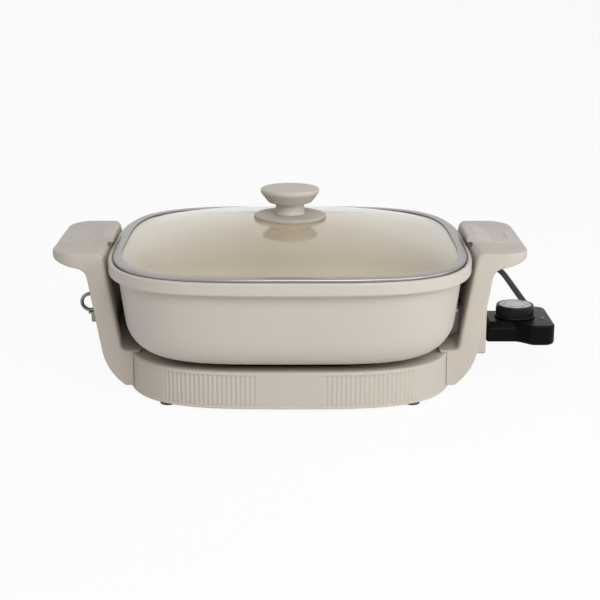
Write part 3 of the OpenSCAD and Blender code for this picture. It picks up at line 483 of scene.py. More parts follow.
def brushedFinish(name, colour, rough, centre, lines, contrast, metal=1.0):
    material, tree, shader = newMaterial(name)
    brushing = {"Centre": Vector(centre) * mm, "Lines": lines, "Contrast": contrast}
    brushed = addGroup(tree, brushedGroup, brushing)
    plain = {"Colour": tone(*colour), "Tone Drift": 0.08, "Gloss": rough, "Gloss Drift": 0.12}
    surface = addGroup(tree, mouldedGroup, plain)
    relief = {"Strength": 0.1, "Distance": 0.05 * mm, "Height": brushed["Height"]}
    feed(tree, shader.inputs, {
        "Base Color": scaled(tree, surface["Colour"], brushed["Shade"]),
        "Roughness": surface["Roughness"],
        "Normal": setNode(tree, "ShaderNodeBump", relief).outputs["Normal"],
        "Metallic": metal,
    })
    return material


def glassFinish(name, colour):
    # lamps shine through: a shadow ray finds the glass half clear
    material, tree, shader = newMaterial(name)
    plain = {"Colour": tone(*colour), "Tone Drift": 0.02, "Gloss": 0.02, "Gloss Drift": 0.03}
    surface = addGroup(tree, mouldedGroup, plain)
    shadow = setNode(tree, "ShaderNodeLightPath").outputs["Is Shadow Ray"]
    feed(tree, shader.inputs, {
        "Base Color": surface["Colour"],
        "Roughness": surface["Roughness"],
        "Alpha": calc(tree, "MULTIPLY_ADD", shadow, -0.5, 1),
        "Transmission Weight": 1,
        "Specular IOR Level": 0.25,
        "IOR": 1.2,  # under real glass, so that the white surroundings don't veil the pan
    })
    return material


paint["lidSteel"] = brushedFinish("lidSteel", (150, 146, 144), 0.3, (0, 0, 0), 1600, 0.25)
paint["dialSilver"] = brushedFinish("dialSilver", (198, 194, 188), 0.42, (*dialMid, 0), 2600, 0.18, 0.35)
paint["lidGlass"] = glassFinish("lidGlass", (241, 238, 228))
print("materials ready:", len(paint))


def place(piece, finish, body, slotName, *nodes):
    piece.data.materials.clear()
    piece.data.materials.append(paint[finish])
    for polygon in piece.data.polygons:
        polygon.material_index = 0
    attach(piece, body)
    if nodes:
        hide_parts(*nodes)
    return piece


# cord: lead behind the control, coil on the table, tie, strain relief and plug

cordRoute = {
    "diameter": 6,
    "exit": (226.5, 59.5, 37.2),
    "lead": [
        (226.5, 59.5, 37.2), (226.5, 68, 37.2), (226.4, 84, 37.2), (226.1, 100, 37.2), (225.7, 116, 37.2),
        (225.3, 132, 37.2), (224.9, 148, 37.2), (224.5, 164, 37.2), (224.1, 180, 37.2), (223.7, 194, 37.2),
        (223, 206, 37.2), (221.9, 217, 37.2), (219, 228, 36.5), (214.6, 239, 33.1), (209.7, 250, 27.7),
        (205.1, 261, 21.1), (201.7, 272, 14.3), (200.1, 283, 8.6), (199.9, 292, 5.4), (198.6, 301, 3.8),
        (194.4, 311, 3.7), (187.7, 319.7, 3.7), (179, 326.4, 3.7), (168.9, 330.6, 3.7), (158, 331.9, 3.7),
        (150, 331.95, 3.7), (144, 331.95, 3.7),
    ],
    "coilMid": (144, 295),
    "coilRadius": 37,
    "pitch": 6.6,
    "turns": 2.5,
    "low": 3.7,
    "layer": 6.5,
    "perTurn": 24,
    "tail": 14,
}


def coilPoint(route, u):
    t = max(0, min(1, (u - (route["turns"] - 0.5) / 2) / 0.5))
    r = route["coilRadius"] - route["pitch"] * min(u, route["turns"] - u)
    a = math.radians(90 + 360 * u)
    z = route["low"] + route["layer"] * t * t * (3 - 2 * t)
    return (route["coilMid"][0] + r * math.cos(a), route["coilMid"][1] + r * math.sin(a), z)


def cordPoints(route):
    count = int(route["turns"] * route["perTurn"])
    coil = [coilPoint(route, i / route["perTurn"]) for i in range(1, count + 1)]
    x, y, z = coil[-1]
    return route["lead"] + coil + [(x + route["diameter"], y, z), (x + route["tail"], y, z)]


def makeCord(route):
    curve = bpy.data.curves.new("powerCord", "CURVE")
    curve.dimensions = "3D"
    curve.bevel_depth = route["diameter"] / 2 * mm
    curve.bevel_resolution = 5
    curve.resolution_u = 5
    curve.use_fill_caps = True
    points = cordPoints(route)
    spline = curve.splines.new("BEZIER")
    spline.bezier_points.add(len(points) - 1)
    for knot, p in zip(spline.bezier_points, points):
        knot.co = Vector(p) * mm
        knot.handle_left_type = "AUTO"
        knot.handle_right_type = "AUTO"
    curve.materials.append(paint["cordRubber"])
    return link("powerCord", curve)


reliefSizes = {
    "back": 34.5,
    "rootRadius": 6.4,
    "tipRadius": 4.2,
    "edge": 0.6,
    "grooves": 4,
    "grooveDepth": 0.7,
    "grooveWidth": 1.8,
    "grooveSlope": 0.4,
    "steps": 40,
}


def makeRelief(sizes, route):
    x, tip, z = route["exit"]
    root, end, edge, ease = (sizes[k] for k in ("rootRadius", "tipRadius", "edge", "grooveSlope"))
    length = tip - sizes["back"]
    slope = (end - root) / length
    half = sizes["grooveWidth"] / 2
    # run and share of the depth across one groove
    groove = [(-half, 0), (-half + ease, 0.85), (-0.1, 1), (half - ease, 0.85), (half, 0)]
    line = [(0, 0), (root - edge, 0), (root, edge)]
    for i in range(1, sizes["grooves"] + 1):
        for offset, deep in groove:
            run = i * length / (sizes["grooves"] + 1) + offset
            line.append((root + slope * run - deep * sizes["grooveDepth"], run))
    line += [(end, length - 0.8), (end - edge, length), (0, length)]
    turn = [2 * math.pi * k / sizes["steps"] for k in range(sizes["steps"])]
    rings = []
    for r, run in line:
        rings.append([(x + r * math.cos(a), sizes["back"] + run, z + r * math.sin(a)) for a in turn])
    return loft("strainRelief", rings, angle=50)


plugSizes = {
    "length": 36,
    "sections": [  # distance along, width, height, corner
        (0, 8.4, 8.4, 4), (0.6, 9, 9, 4.2), (5, 10.4, 10, 4.6), (9, 12, 11, 4.8), (12.5, 15.4, 13, 5),
        (16, 20, 16, 5.4), (19, 23.4, 18.6, 5.6), (22, 25, 20, 5.6), (28, 25, 20, 5.6), (33.5, 25, 20, 5.4),
        (35.2, 24.2, 19.2, 5), (36, 22, 17, 4.2),
    ],
    "bladeGap": 12.7,
    "bladeWidth": 6.35,
    "bladeThick": 1.5,
    "bladeLength": 17.5,
    "bladeRoot": 1,  # sunk into the body
    "bladeCorner": 1.6,
    "bladeEdge": 0.25,
    "holeRadius": 1.5,
    "holeFromTip": 4.2,
}


def makePlug(sizes, start):
    x0, y0, z0 = start
    rings = []
    for run, w, h, r in sizes["sections"]:
        outline = softOutline(boxCorners(w / 2, -h / 2, h / 2, r), 7)
        rings.append([(x0 + run, y0 + y, z0 + z) for y, z in outline])
    return loft("plugBody", rings, angle=48)


def makeBlade(sizes, x0, y, z0):
    w, t, length, edge = (sizes[k] for k in ("bladeWidth", "bladeThick", "bladeLength", "bladeEdge"))
    root, tip, r = x0 - sizes["bladeRoot"], x0 + length, sizes["bladeCorner"]
    low, high, midX = z0 - w / 2, z0 + w / 2, x0 + length / 2
    outline = softOutline([(root, low, 0), (tip, low, r), (tip, high, r), (root, high, 0)], 6)
    rings = []
    for run, inset in ((-t / 2, edge), (-t / 2 + edge, 0), (t / 2 - edge, 0), (t / 2, edge)):
        alongX, alongZ = 1 - inset / (length / 2), 1 - inset / (w / 2)
        rings.append([(midX + (x - midX) * alongX, y + run, z0 + (z - z0) * alongZ) for x, z in outline])
    rim = arcPoints((tip - sizes["holeFromTip"], z0), sizes["holeRadius"], 0, 345, 23)
    return cutAway(loft("blade", rings), prism(rim, "y", y - t, y + t))


def makeBlades(sizes, start):
    x, y, z = start
    gap = sizes["bladeGap"] / 2
    blades = [makeBlade(sizes, x + sizes["length"], y + side, z) for side in (-gap, gap)]
    return joined("plugBlades", blades)


tieSizes = {"at": 1.75, "half": 2, "gap": 0.25, "thick": 0.4, "edge": 0.15}


def makeTie(sizes, route):
    x, y, _ = coilPoint(route, sizes["at"])
    low, high = route["low"], route["low"] + route["layer"]
    inner = route["diameter"] / 2 + sizes["gap"]
    outer = inner + sizes["thick"]

    def stadium(r):
        return arcPoints((x, high), r, 0, 180, 16) + arcPoints((x, low), r, 180, 360, 16)

    h, edge = sizes["half"], sizes["edge"]
    section = [(outer - edge, -h), (outer, -h + edge), (outer, h - edge), (outer - edge, h)]
    section += [(inner, h), (inner, -h)]
    rings = [layer("y", y + run, stadium(r)) for r, run in section]
    return loft("cordTie", rings, closed=True)


powerCord = makeCord(cordRoute)
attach(powerCord, "control")
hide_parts("cord_lead", "cord_coil")
plugStart = cordPoints(cordRoute)[-1]
relief = makeRelief(reliefSizes, cordRoute)
strainRelief = place(relief, "cordRubber", "control", "cord_rubber", "strain_relief")
plugBody = place(makePlug(plugSizes, plugStart), "cordRubber", "control", "cord_rubber", "plug_body")
blades = makeBlades(plugSizes, plugStart)
plugBlades = place(blades, "contactBrass", "control", "contact_brass", "plug_blades")
cordTie = place(makeTie(tieSizes, cordRoute), "tieRubber", "control", "tie_rubber", "cord_tie")
print("cord laid")

# pan

panSizes = {
    "half": 156.5,
    "rimPower": 3.6,  # squareness of the rim's outline
    "wallPower": 4,
    "bottom": 38,
    "rimTop": 116.8,
    "rimUnder": 106,
    "wallTop": 148.1,
    "wallLow": (143.082, 66.298),
    "innerTop": (144.1, 110.5),
    "innerLow": (139.595, 66.603),
    "corner": 31,
    "wall": 3.5,
    "seatHalf": 153.3,
    "seatZ": 114.5,
    "rimEdge": 1.6,
    "centre": 30,  # the flat floor closes inside this
    "points": 200,
}


def atHeight(a, b, z):
    return a[0] + (b[0] - a[0]) * (z - a[1]) / (b[1] - a[1])


def makePan(sizes):
    top = (sizes["wallTop"], sizes["rimUnder"])
    floorZ = sizes["bottom"] + sizes["wall"]
    outerFoot = atHeight(sizes["wallLow"], top, sizes["bottom"])
    innerFoot = atHeight(sizes["innerLow"], sizes["innerTop"], floorZ)
    profile = softOutline(
        [
            (sizes["centre"], sizes["bottom"], 0),
            (outerFoot, sizes["bottom"], sizes["corner"]),
            (top[0], top[1], 1.4),
            (sizes["half"], sizes["rimUnder"], sizes["rimEdge"]),
            (sizes["half"], sizes["rimTop"], sizes["rimEdge"]),
            (sizes["seatHalf"], sizes["rimTop"], 0.5),
            (sizes["seatHalf"], sizes["seatZ"], 0.4),
            (sizes["wallTop"] - sizes["wall"], sizes["seatZ"], 1.2),
            (innerFoot, floorZ, sizes["corner"] - sizes["wall"]),
            (sizes["centre"], floorZ, 0),
        ],
        9,
        closed=False,
    )
    rim = roundedSquare(1, 1, sizes["rimPower"], sizes["points"])
    wall = roundedSquare(1, 1, sizes["wallPower"], sizes["points"])
    rings = []
    for h, z in profile:
        unit = rim if h > sizes["wallTop"] + 1.5 else wall
        rings.append([(h * x, h * y, z) for x, y in unit])
    return loft("panShell", rings)


place(makePan(panSizes), "panCoating", "base", "pan_coating", "pan")
print("pan made")

# lid: domed glass, steel edge, flange and knob

lidSizes = {
    "power": 3.6,
    "ringOut": 152.5,
    "ringIn": 145,
    "ringLow": 114.7,
    "ringTop": 119.4,
    "ringThick": 0.9,
    "glassHalf": 151,
    "domeBase": 118.3,
    "domeRise": 21.7,
    "glassThick": 2.6,
    "hole": 4,
    "domeSteps": 26,
    "glassEdge": 0.4,
    "points": 200,
}


def makeLidRing(sizes):
    out, inn, low, top, t = (sizes[k] for k in ("ringOut", "ringIn", "ringLow", "ringTop", "ringThick"))
    section = softOutline(
        [
            (out, low, 0.3), (out, top, 1.5), (inn, top, 0.4), (inn, top - t, 0.3),
            (out - t, top - t, 0.2), (out - t, low + t, 0.2), (inn + 2, low + t, 0.3), (inn + 2, low, 0.3),
        ],
        5,
    )
    unit = roundedSquare(1, 1, sizes["power"], sizes["points"])
    return loft("lidRing", [[(h * x, h * y, z) for x, y in unit] for h, z in section], closed=True)


def makeLidGlass(sizes):
    reach, count = sizes["ringIn"], sizes["domeSteps"]
    halves = [reach - (reach - sizes["hole"]) * i / count for i in range(count + 1)]

    def domeRing(h, drop):
        share = min(1, h / reach)
        power = 2 + (sizes["power"] - 2) * share * share
        z = sizes["domeBase"] + sizes["domeRise"] * (1 - share * share) - drop
        return layer("z", z, roundedSquare(h, h, power, sizes["points"]))

    half, edge, thick = sizes["glassHalf"], sizes["glassEdge"], sizes["glassThick"]
    rings = [domeRing(half, thick), domeRing(half, edge), domeRing(half - edge, 0)]
    rings += [domeRing(h, 0) for h in halves]
    rings += [domeRing(h, thick) for h in reversed(halves)]
    return loft("lidGlass", rings, closed=True)


knobSizes = {
    "low": 142.7,
    "neck": 12.7,
    "neckHeight": 10.3,
    "footRadius": 19.2,
    "topRadius": 26,
    "edgeHeight": 19.1,
    "rimHeight": 22.7,
    "top": 23.3,
    "flangeRadius": 32,
    "flangeLow": 140.2,
    "flangeDrop": 0.85,  # the flange's rim follows the dome down
}


def makeKnob(sizes):
    z = sizes["low"]
    profile = softOutline(
        [
            (0, z, 0),
            (sizes["neck"] + 1, z, 0.2),
            (sizes["neck"], z + 2, 3),
            (sizes["neck"], z + sizes["neckHeight"], 1.5),
            (sizes["footRadius"], z + sizes["neckHeight"], 1.5),
            (sizes["topRadius"], z + sizes["edgeHeight"], 3),
            (sizes["topRadius"], z + sizes["rimHeight"], 2),
            (0, z + sizes["top"], 0),
        ],
        9,
        closed=False,
    )
    return turned("lidKnob", profile, steps=128)


def makeFlange(sizes):
    z = sizes["flangeLow"]
    r = sizes["flangeRadius"]
    profile = softOutline(
        [
            (0, z, 0), (12, z, 8), (r, z - sizes["flangeDrop"], 0.4), (r, z + 1.3, 0.9),
            (r - 3, sizes["low"] - 0.25, 3), (0, sizes["low"], 0),
        ],
        7,
        closed=False,
    )
    return turned("knobFlange", profile, steps=128)


place(makeLidRing(lidSizes), "lidSteel", "lid", "lid_steel", "lid_ring")
place(makeLidGlass(lidSizes), "lidGlass", "lid", "lid_glass", "lid_glass")
place(makeKnob(knobSizes), "knobPlastic", "lid", "knob_plastic", "lid_knob")
place(makeFlange(knobSizes), "flangePlastic", "lid", "flange_plastic", "knob_flange")
print("lid made")

# node trees that repeat a shape


def newTree(name, inputs):
    tree = bpy.data.node_groups.new(name, "GeometryNodeTree")
    for label, kind in [("Geometry", "Geometry")] + inputs + [("Finish", "Material")]:
        tree.interface.new_socket(label, in_out="INPUT", socket_type="NodeSocket" + kind)
    tree.interface.new_socket("Geometry", in_out="OUTPUT", socket_type="NodeSocketGeometry")
    return tree, tree.nodes.new("NodeGroupInput").outputs


def finishTree(tree, given, geometry):
    solid = setNode(tree, "GeometryNodeRealizeInstances", {"Geometry": geometry}).outputs["Geometry"]
    painted = setNode(tree, "GeometryNodeSetMaterial", {"Geometry": solid, "Material": given["Finish"]})
    feed(tree, tree.nodes.new("NodeGroupOutput").inputs, {"Geometry": painted.outputs["Geometry"]})
    return tree


def useTree(piece, tree, values):
    step = piece.modifiers.new("shape", "NODES")
    step.node_group = tree
    for item in tree.interface.items_tree:
        if item.in_out == "INPUT" and item.name in values:
            step[item.identifier] = values[item.name]
    return applyAll(piece)


def stored(tree, name, kind="FLOAT"):
    node = setNode(tree, "GeometryNodeInputNamedAttribute", {"Name": name}, data_type=kind)
    return node.outputs["Attribute"]


def givenShape(tree, given):
    return setNode(tree, "GeometryNodeObjectInfo", {"Object": given["Shape"]}).outputs["Geometry"]


def aboutZ(tree, angle):
    return setNode(tree, "ShaderNodeCombineXYZ", {"Z": angle}).outputs[0]


def fluteTree():
    # pushes the wall in along the stored outward direction, once per pitch of the stored run
    tree, given = newTree("fluteRows", [("Pitch", "Float"), ("Depth", "Float")])
    turn = calc(tree, "MULTIPLY", calc(tree, "DIVIDE", stored(tree, "run"), given["Pitch"]), 2 * math.pi)
    wave = calc(tree, "MULTIPLY_ADD", calc(tree, "COSINE", turn), -0.5, 0.5)
    scoop = calc(tree, "MULTIPLY", calc(tree, "POWER", wave, 0.75), stored(tree, "fluteMask"))
    inward = calc(tree, "MULTIPLY", calc(tree, "MULTIPLY", scoop, given["Depth"]), -1)
    shift = scaled(tree, stored(tree, "outward", "FLOAT_VECTOR"), inward)
    moved = setNode(tree, "GeometryNodeSetPosition", {"Geometry": given["Geometry"], "Offset": shift})
    return finishTree(tree, given, moved.outputs["Geometry"])


def spotTree():
    # one copy of a shape on every point of the mesh
    tree, given = newTree("shapeOnSpots", [("Shape", "Object"), ("Turn", "Rotation")])
    spots = {"Points": given["Geometry"], "Instance": givenShape(tree, given), "Rotation": given["Turn"]}
    copies = setNode(tree, "GeometryNodeInstanceOnPoints", spots)
    return finishTree(tree, given, copies.outputs["Instances"])


def roundTree():
    # copies of a shape round a centre, joined to the piece's own mesh
    tree, given = newTree("shapeRound", [
        ("Shape", "Object"), ("Places", "Int"), ("Used", "Int"), ("Radius", "Float"),
        ("First Angle", "Float"), ("Centre", "Vector"),
    ])
    spots = {"Vertices": given["Places"], "Radius": given["Radius"]}
    circle = setNode(tree, "GeometryNodeMeshCircle", spots)
    index = tree.nodes.new("GeometryNodeInputIndex").outputs[0]
    counts = {2: index, 3: given["Used"]}
    few = setNode(tree, "FunctionNodeCompare", counts, data_type="INT", operation="LESS_THAN")
    turn = calc(tree, "MULTIPLY", calc(tree, "DIVIDE", index, given["Places"]), 2 * math.pi)
    copies = setNode(tree, "GeometryNodeInstanceOnPoints", {
        "Points": circle.outputs["Mesh"],
        "Selection": few.outputs[0],
        "Instance": givenShape(tree, given),
        "Rotation": aboutZ(tree, turn),
    })
    moved = setNode(tree, "GeometryNodeTransform", {
        "Geometry": copies.outputs["Instances"],
        "Translation": given["Centre"],
        "Rotation": aboutZ(tree, given["First Angle"]),
    })
    both = setNode(tree, "GeometryNodeJoinGeometry", {0: moved.outputs["Geometry"]})
    feed(tree, both.inputs, {0: given["Geometry"]})
    return finishTree(tree, given, both.outputs[0])


flutes = fluteTree()
onSpots = spotTree()
onRound = roundTree()

# base ring with its fluted wall, plain plate, top band and deck

baseSizes = {
    "halfX": 141,
    "halfY": 128.5,
    "power": 3.3,
    "low": 3,
    "top": 34.4,
    "wall": 3,
    "lipOut": 0.9,
    "lipTop": 5.5,
    "bandLow": 31.8,
    "bandOut": 0.4,
    "bandEdge": 2,
    "deck": 24,
    "deckFall": 1.6,
    "deckThick": 2.4,
    "flutePitch": 3.9,
    "fluteDepth": 0.75,
    "plateHalf": 28,
    "fluteEnd": 110,
    "fluteEase": 7,  # the flutes fade out over this
    "endBlock": 71,  # the brackets cover the wall up to here
    "points": 2200,
    "notch": [(100, -27.5, 18.9), (150, 27.5, 40)],  # the control's way in
}


def baseSection(sizes):
    # growth of the outline, height, and share of the flutes' depth
    lip, band, edge = sizes["lipOut"], sizes["bandOut"], sizes["bandEdge"]
    section = [
        (-sizes["wall"], sizes["low"], 0), (lip - 0.6, sizes["low"], 0), (lip, sizes["low"] + 0.6, 0),
        (lip, sizes["lipTop"] - 0.7, 0), (lip - 0.25, sizes["lipTop"] - 0.2, 0), (0.1, sizes["lipTop"], 0),
        (0, sizes["lipTop"] + 0.1, 1), (0, 12, 1), (0, 18, 1), (0, 24, 1), (0, sizes["bandLow"] - 1.6, 1),
        (0, sizes["bandLow"] - 0.9, 0.85), (0, sizes["bandLow"] - 0.4, 0.45), (0, sizes["bandLow"] - 0.1, 0),
        (band - 0.1, sizes["bandLow"], 0), (band, sizes["bandLow"] + 0.3, 0),
    ]
    for x, z in arcPoints((band - edge, sizes["top"] - edge), edge, 0, 90, 6):
        section.append((x, z, 0))
    section += [
        (-8, sizes["top"] - 0.4 * sizes["deckFall"], 0),
        (-sizes["deck"] + 0.6, sizes["top"] - sizes["deckFall"], 0),
        (-sizes["deck"], sizes["top"] - sizes["deckFall"] - 0.6, 0),
        (-sizes["deck"], sizes["top"] - sizes["deckFall"] - sizes["deckThick"], 0),
        (-sizes["wall"], sizes["bandLow"], 0),
    ]
    return section


def makeBaseRing(sizes):
    count = sizes["points"]
    section = baseSection(sizes)
    rings = []
    for d, z, _ in section:
        outline = roundedSquare(sizes["halfX"] + d, sizes["halfY"] + d, sizes["power"], count)
        rings.append(layer("z", z, outline))
    wall = roundedSquare(sizes["halfX"], sizes["halfY"], sizes["power"], count)
    lengths = [math.dist(wall[i], wall[i - 1]) for i in range(count)]
    step = sum(lengths) / count
    mesh = bpy.data.meshes.new("baseRing")
    points = [Vector(p) * mm for ring in rings for p in ring]
    mesh.from_pydata(points, [], loftFaces(len(rings), count, True))
    runs, masks, outwards = [], [], []
    for _, _, share in section:
        for i, (x, y) in enumerate(wall):
            ahead = Vector(wall[(i + 1) % count]) - Vector(wall[i - 1])
            outward = Vector((ahead.y, -ahead.x)).normalized()
            quarter = (i % (count // 2)) - count // 4  # steps from the middle of the front or the back
            past = abs(quarter) * step - sizes["plateHalf"]
            ease = min(1, max(0, (sizes["fluteEnd"] - abs(x)) / sizes["fluteEase"]))
            fluted = past > 0 and abs(y) > sizes["endBlock"]
            runs.append(past)
            masks.append(share * ease if fluted else 0)
            outwards.extend((outward.x, outward.y, 0))
    mesh.attributes.new("run", "FLOAT", "POINT").data.foreach_set("value", runs)
    mesh.attributes.new("fluteMask", "FLOAT", "POINT").data.foreach_set("value", masks)
    mesh.attributes.new("outward", "FLOAT_VECTOR", "POINT").data.foreach_set("vector", outwards)
    piece = link("baseRing", mesh)
    depth = sizes["fluteDepth"] * mm
    useTree(piece, flutes, {"Pitch": sizes["flutePitch"], "Depth": depth, "Finish": paint["basePlastic"]})
    closeUp(piece)
    return cutAway(piece, block(*sizes["notch"]))


place(makeBaseRing(baseSizes), "basePlastic", "base", "base_plastic", "base_ring")
print("base ring made")

# end brackets with their grips

bracketSizes = {
    "profile": [  # side view, with corner radii
        (159.4, 121.4, 6), (204.4, 121.4, 2), (204.4, 113.4, 3.5), (173.9, 106.6, 10), (158.8, 18.4, 50),
        (142.5, 4.8, 2), (129, 4.8, 0), (129, 36.2, 0), (144.6, 36.2, 5),
    ],
    "half": 71,
    "endRound": 2,
    "innerRound": 3,  # upright edge beside the pan
    "gripCorner": 26,
    "leastReach": 181,
    "seats": [(1, 5.6), (0.45, 34.5)],  # growth of the base's outline, height of the cut
    "seatLow": -5,
    "seatPoints": 320,
    "hollowHalf": 67,
    "hollow": [(148.12, 39.2), (159.36, 39.2), (169.53, 98.6), (158.44, 98.6)],
    "windowHalf": 57,
    "window": (143.6, 153.51, 39.2, 70.2),
    "windowCorner": 5,
    "channel": [
        (-28.3, 117.6), (28.3, 117.6), (28.3, 119.6), (26.3, 119.6),
        (26.3, 122.4), (-26.3, 122.4), (-26.3, 119.6), (-28.3, 119.6),
    ],
    "channelRun": (158.4, 206),
    "pegX": 181.4,
    "peg": (1.5, 1.2, 0.2),  # radius, height, edge
    "collarHole": [(120, -27.2, 19.2), (180, 27.2, 66.6)],
}


def gripReach(sizes, y):
    # round corner in plan that runs into the end face without a crease
    out, r, least = sizes["profile"][1][0], sizes["gripCorner"], sizes["leastReach"]
    share = min(1, max(0, abs(y) - (sizes["half"] - r)) / r)
    return least + (out - least) * math.sqrt(1 - share * share)


def bracketStations(sizes):
    # distance along Y, and how far the side view is drawn in there
    half, r = sizes["half"], sizes["gripCorner"]
    stations = [(0, 0)] + [(half - r + r * math.sin(math.radians(5 * i)), 0) for i in range(14)]
    stations += roundEnd(half, sizes["endRound"], 1, 6)
    back = [(-y, d) for y, d in reversed(stations[1:])]
    return back + stations


def bracketCorners(sizes, y, inset):
    corners = list(sizes["profile"])
    root, tip = corners[3], corners[2]
    out = gripReach(sizes, y)
    under = root[1] + (out - root[0]) * (tip[1] - root[1]) / (tip[0] - root[0])
    corners[1] = (out, corners[1][1], corners[1][2])
    corners[2] = (out, under, tip[2])
    corners[3] = (root[0], root[1], min(root[2], 1.4 * (out - root[0] - 3)))
    r = sizes["innerRound"]
    past = max(0, abs(y) - sizes["half"] + r)
    further = r - math.sqrt(max(0, r * r - past * past))
    corners = drawnIn(corners, inset)
    for i in (0, len(corners) - 1):
        corners[i] = (corners[i][0] + max(0, further - inset), *corners[i][1:])
    return corners


def makeBracket(sizes):
    rings = []
    for y, inset in bracketStations(sizes):
        rings.append(layer("y", y, softOutline(bracketCorners(sizes, y, inset), 8)))
    piece = loft("bracket", rings)
    seats = []
    for grow, top in sizes["seats"]:
        halves = (baseSizes["halfX"] + grow, baseSizes["halfY"] + grow)
        outline = roundedSquare(*halves, baseSizes["power"], sizes["seatPoints"])
        seats.append(prism(outline, "z", sizes["seatLow"], top))
    hollow = prism(sizes["hollow"], "y", -sizes["hollowHalf"], sizes["hollowHalf"])
    x0, x1, z0, z1 = sizes["window"]
    opening = boxCorners(sizes["windowHalf"], z0, z1, sizes["windowCorner"])
    window = prism(softOutline(opening, 6), "x", x0, x1)
    channel = prism(sizes["channel"], "x", *sizes["channelRun"])
    return cutAway(piece, *seats, hollow, window, channel)


def makePeg(sizes, side):
    r, h, edge = sizes["peg"]
    z = sizes["channel"][0][1]
    profile = [(0, z - edge), (r, z - edge), (r, z + h - edge), (r - edge, z + h), (0, z + h)]
    return turned("peg", profile, (side * sizes["pegX"], 0), 24)


rightBracket = makeBracket(bracketSizes)
leftBracket = mirrored(rightBracket, "leftBracket")
leftBracket = joined("leftBracket", [leftBracket, makePeg(bracketSizes, -1)])
cutAway(rightBracket, block(*bracketSizes["collarHole"]))
rightBracket = joined("rightBracket", [rightBracket, makePeg(bracketSizes, 1)])
place(leftBracket, "basePlastic", "base", "base_plastic", "left_bracket")
place(rightBracket, "basePlastic", "base", "base_plastic", "right_bracket")
print("brackets made")

# sliding latches on the grips

latchSizes = {
    "profile": [
        (203.4, 117.9, 0.6), (203.4, 122.2, 1), (178.3, 122.2, 6), (164.3, 127.5, 5),
        (154.8, 127.5, 2), (154.8, 121.5, 0.8), (159.9, 121.5, 0.5), (159.9, 117.9, 0.4),
    ],
    "half": 26,
    "sideRound": 0.7,
    "railOut": 28,
    "railTop": 119.3,
    "railSunk": 0.5,
    "ridgeX": 193,
    "ridgeHalf": 15,
    "ridgeRadius": 1.5,
    "ridgeSunk": 0.7,
}


def makeLatch(sizes):
    half, edge = sizes["half"], sizes["sideRound"]
    stations = roundEnd(-half, edge, -1, 4)[::-1] + roundEnd(half, edge, 1, 4)
    piece = edgedBar("latch", sizes["profile"], "y", stations, 7)
    return joined("latch", [piece, makeRidge(sizes)] + makeRails(sizes))


def makeRidge(sizes):
    r, half = sizes["ridgeRadius"], sizes["ridgeHalf"]
    z = sizes["profile"][1][1] - sizes["ridgeSunk"]
    rings = []
    for i in range(-6, 7):
        a = math.radians(15 * i)
        y = math.copysign(half - r, i) + r * math.sin(a) if i else 0
        size = max(0.05, r * math.cos(a))
        rings.append([(sizes["ridgeX"] + p[0], y, z + p[1]) for p in arcPoints((0, 0), size, -20, 200, 14)])
    return loft("ridge", rings)


def makeRails(sizes):
    rails = []
    x0, x1, low, top = sizes["profile"][6][0], *sizes["profile"][0][:2], sizes["railTop"]
    for side in (-1, 1):
        inner, outer = side * (sizes["half"] - sizes["railSunk"]), side * sizes["railOut"]
        rails.append(prism([(inner, low), (outer, low), (outer, top), (inner, top)], "x", x0, x1))
    return rails


rightLatch = makeLatch(latchSizes)
leftLatch = mirrored(rightLatch, "leftLatch")
rightLatch.name = "rightLatch"
place(leftLatch, "latchPlastic", "left_latch", "latch_plastic", "left_latch")
place(rightLatch, "latchPlastic", "right_latch", "latch_plastic", "right_latch")
print("latches made")

# collar round the control's entry, and the keeper on the left leg

collarSizes = {
    "from": 150.6, "to": 174.618, "half": 27, "low": 19.4, "top": 66.4, "corner": 4, "edge": 1.4, "wall": 3,
    "opening": (19.6, 28.9, 44.1, 3),  # half width, low, top, corner
    "hollow": (24, 46.5, 63.4, 2),
}


def makeCollar(sizes):
    corners = boxCorners(sizes["half"], sizes["low"], sizes["top"], sizes["corner"])
    start, stop, past = sizes["from"], sizes["to"], 2
    piece = edgedBar("controlCollar", corners, "x", [(start, 0)] + roundEnd(stop, sizes["edge"], 1, 5), 8)
    opening = prism(softOutline(boxCorners(*sizes["opening"]), 6), "x", start - past, stop + past)
    hollow = prism(softOutline(boxCorners(*sizes["hollow"]), 4), "x", start - past, stop - sizes["wall"])
    return cutAway(piece, opening, hollow)


keeperSizes = {
    "ringMid": (-180.438, 61.1),
    "ringRadius": 7.35,
    "wire": 1.65,
    "wireDeep": 2.4,
    "ringSteps": 64,
    "post": [
        (-162, 43, 0), (-162, 52.5, 0), (-181.938, 52.5, 0.5), (-181.938, 50.5, 0.5), (-179.438, 50.5, 0.5),
        (-179.438, 43, 1),
    ],
    "postHalf": 3,
    "postEdges": [(0.4, 0), (0.12, 0.15), (0, 0.4)],  # in from the end, and drawn in
}


def makeKeeper(sizes):
    x, z = sizes["ringMid"]
    rings = []
    for i in range(sizes["ringSteps"]):
        a = 2 * math.pi * i / sizes["ringSteps"]
        ring = []
        for p in arcPoints((0, 0), 1, 0, 342, 19):
            r = sizes["ringRadius"] + sizes["wire"] * p[0]
            ring.append((x + r * math.cos(a), sizes["wireDeep"] * p[1], z + r * math.sin(a)))
        rings.append(ring)
    wireRing = loft("wireRing", rings, closed=True)
    front = [(sizes["postHalf"] - back, inset) for back, inset in sizes["postEdges"]]
    stations = [(-y, inset) for y, inset in reversed(front)] + front
    return joined("keeperRing", [wireRing, edgedBar("post", sizes["post"], "y", stations, 6)])


place(makeCollar(collarSizes), "collarPlastic", "base", "base_plastic", "control_collar")
place(makeKeeper(keeperSizes), "keeperMetal", "base", "keeper_metal", "keeper_ring")
print("collar and keeper made")

# feet and screws, one shape each, set on their spots

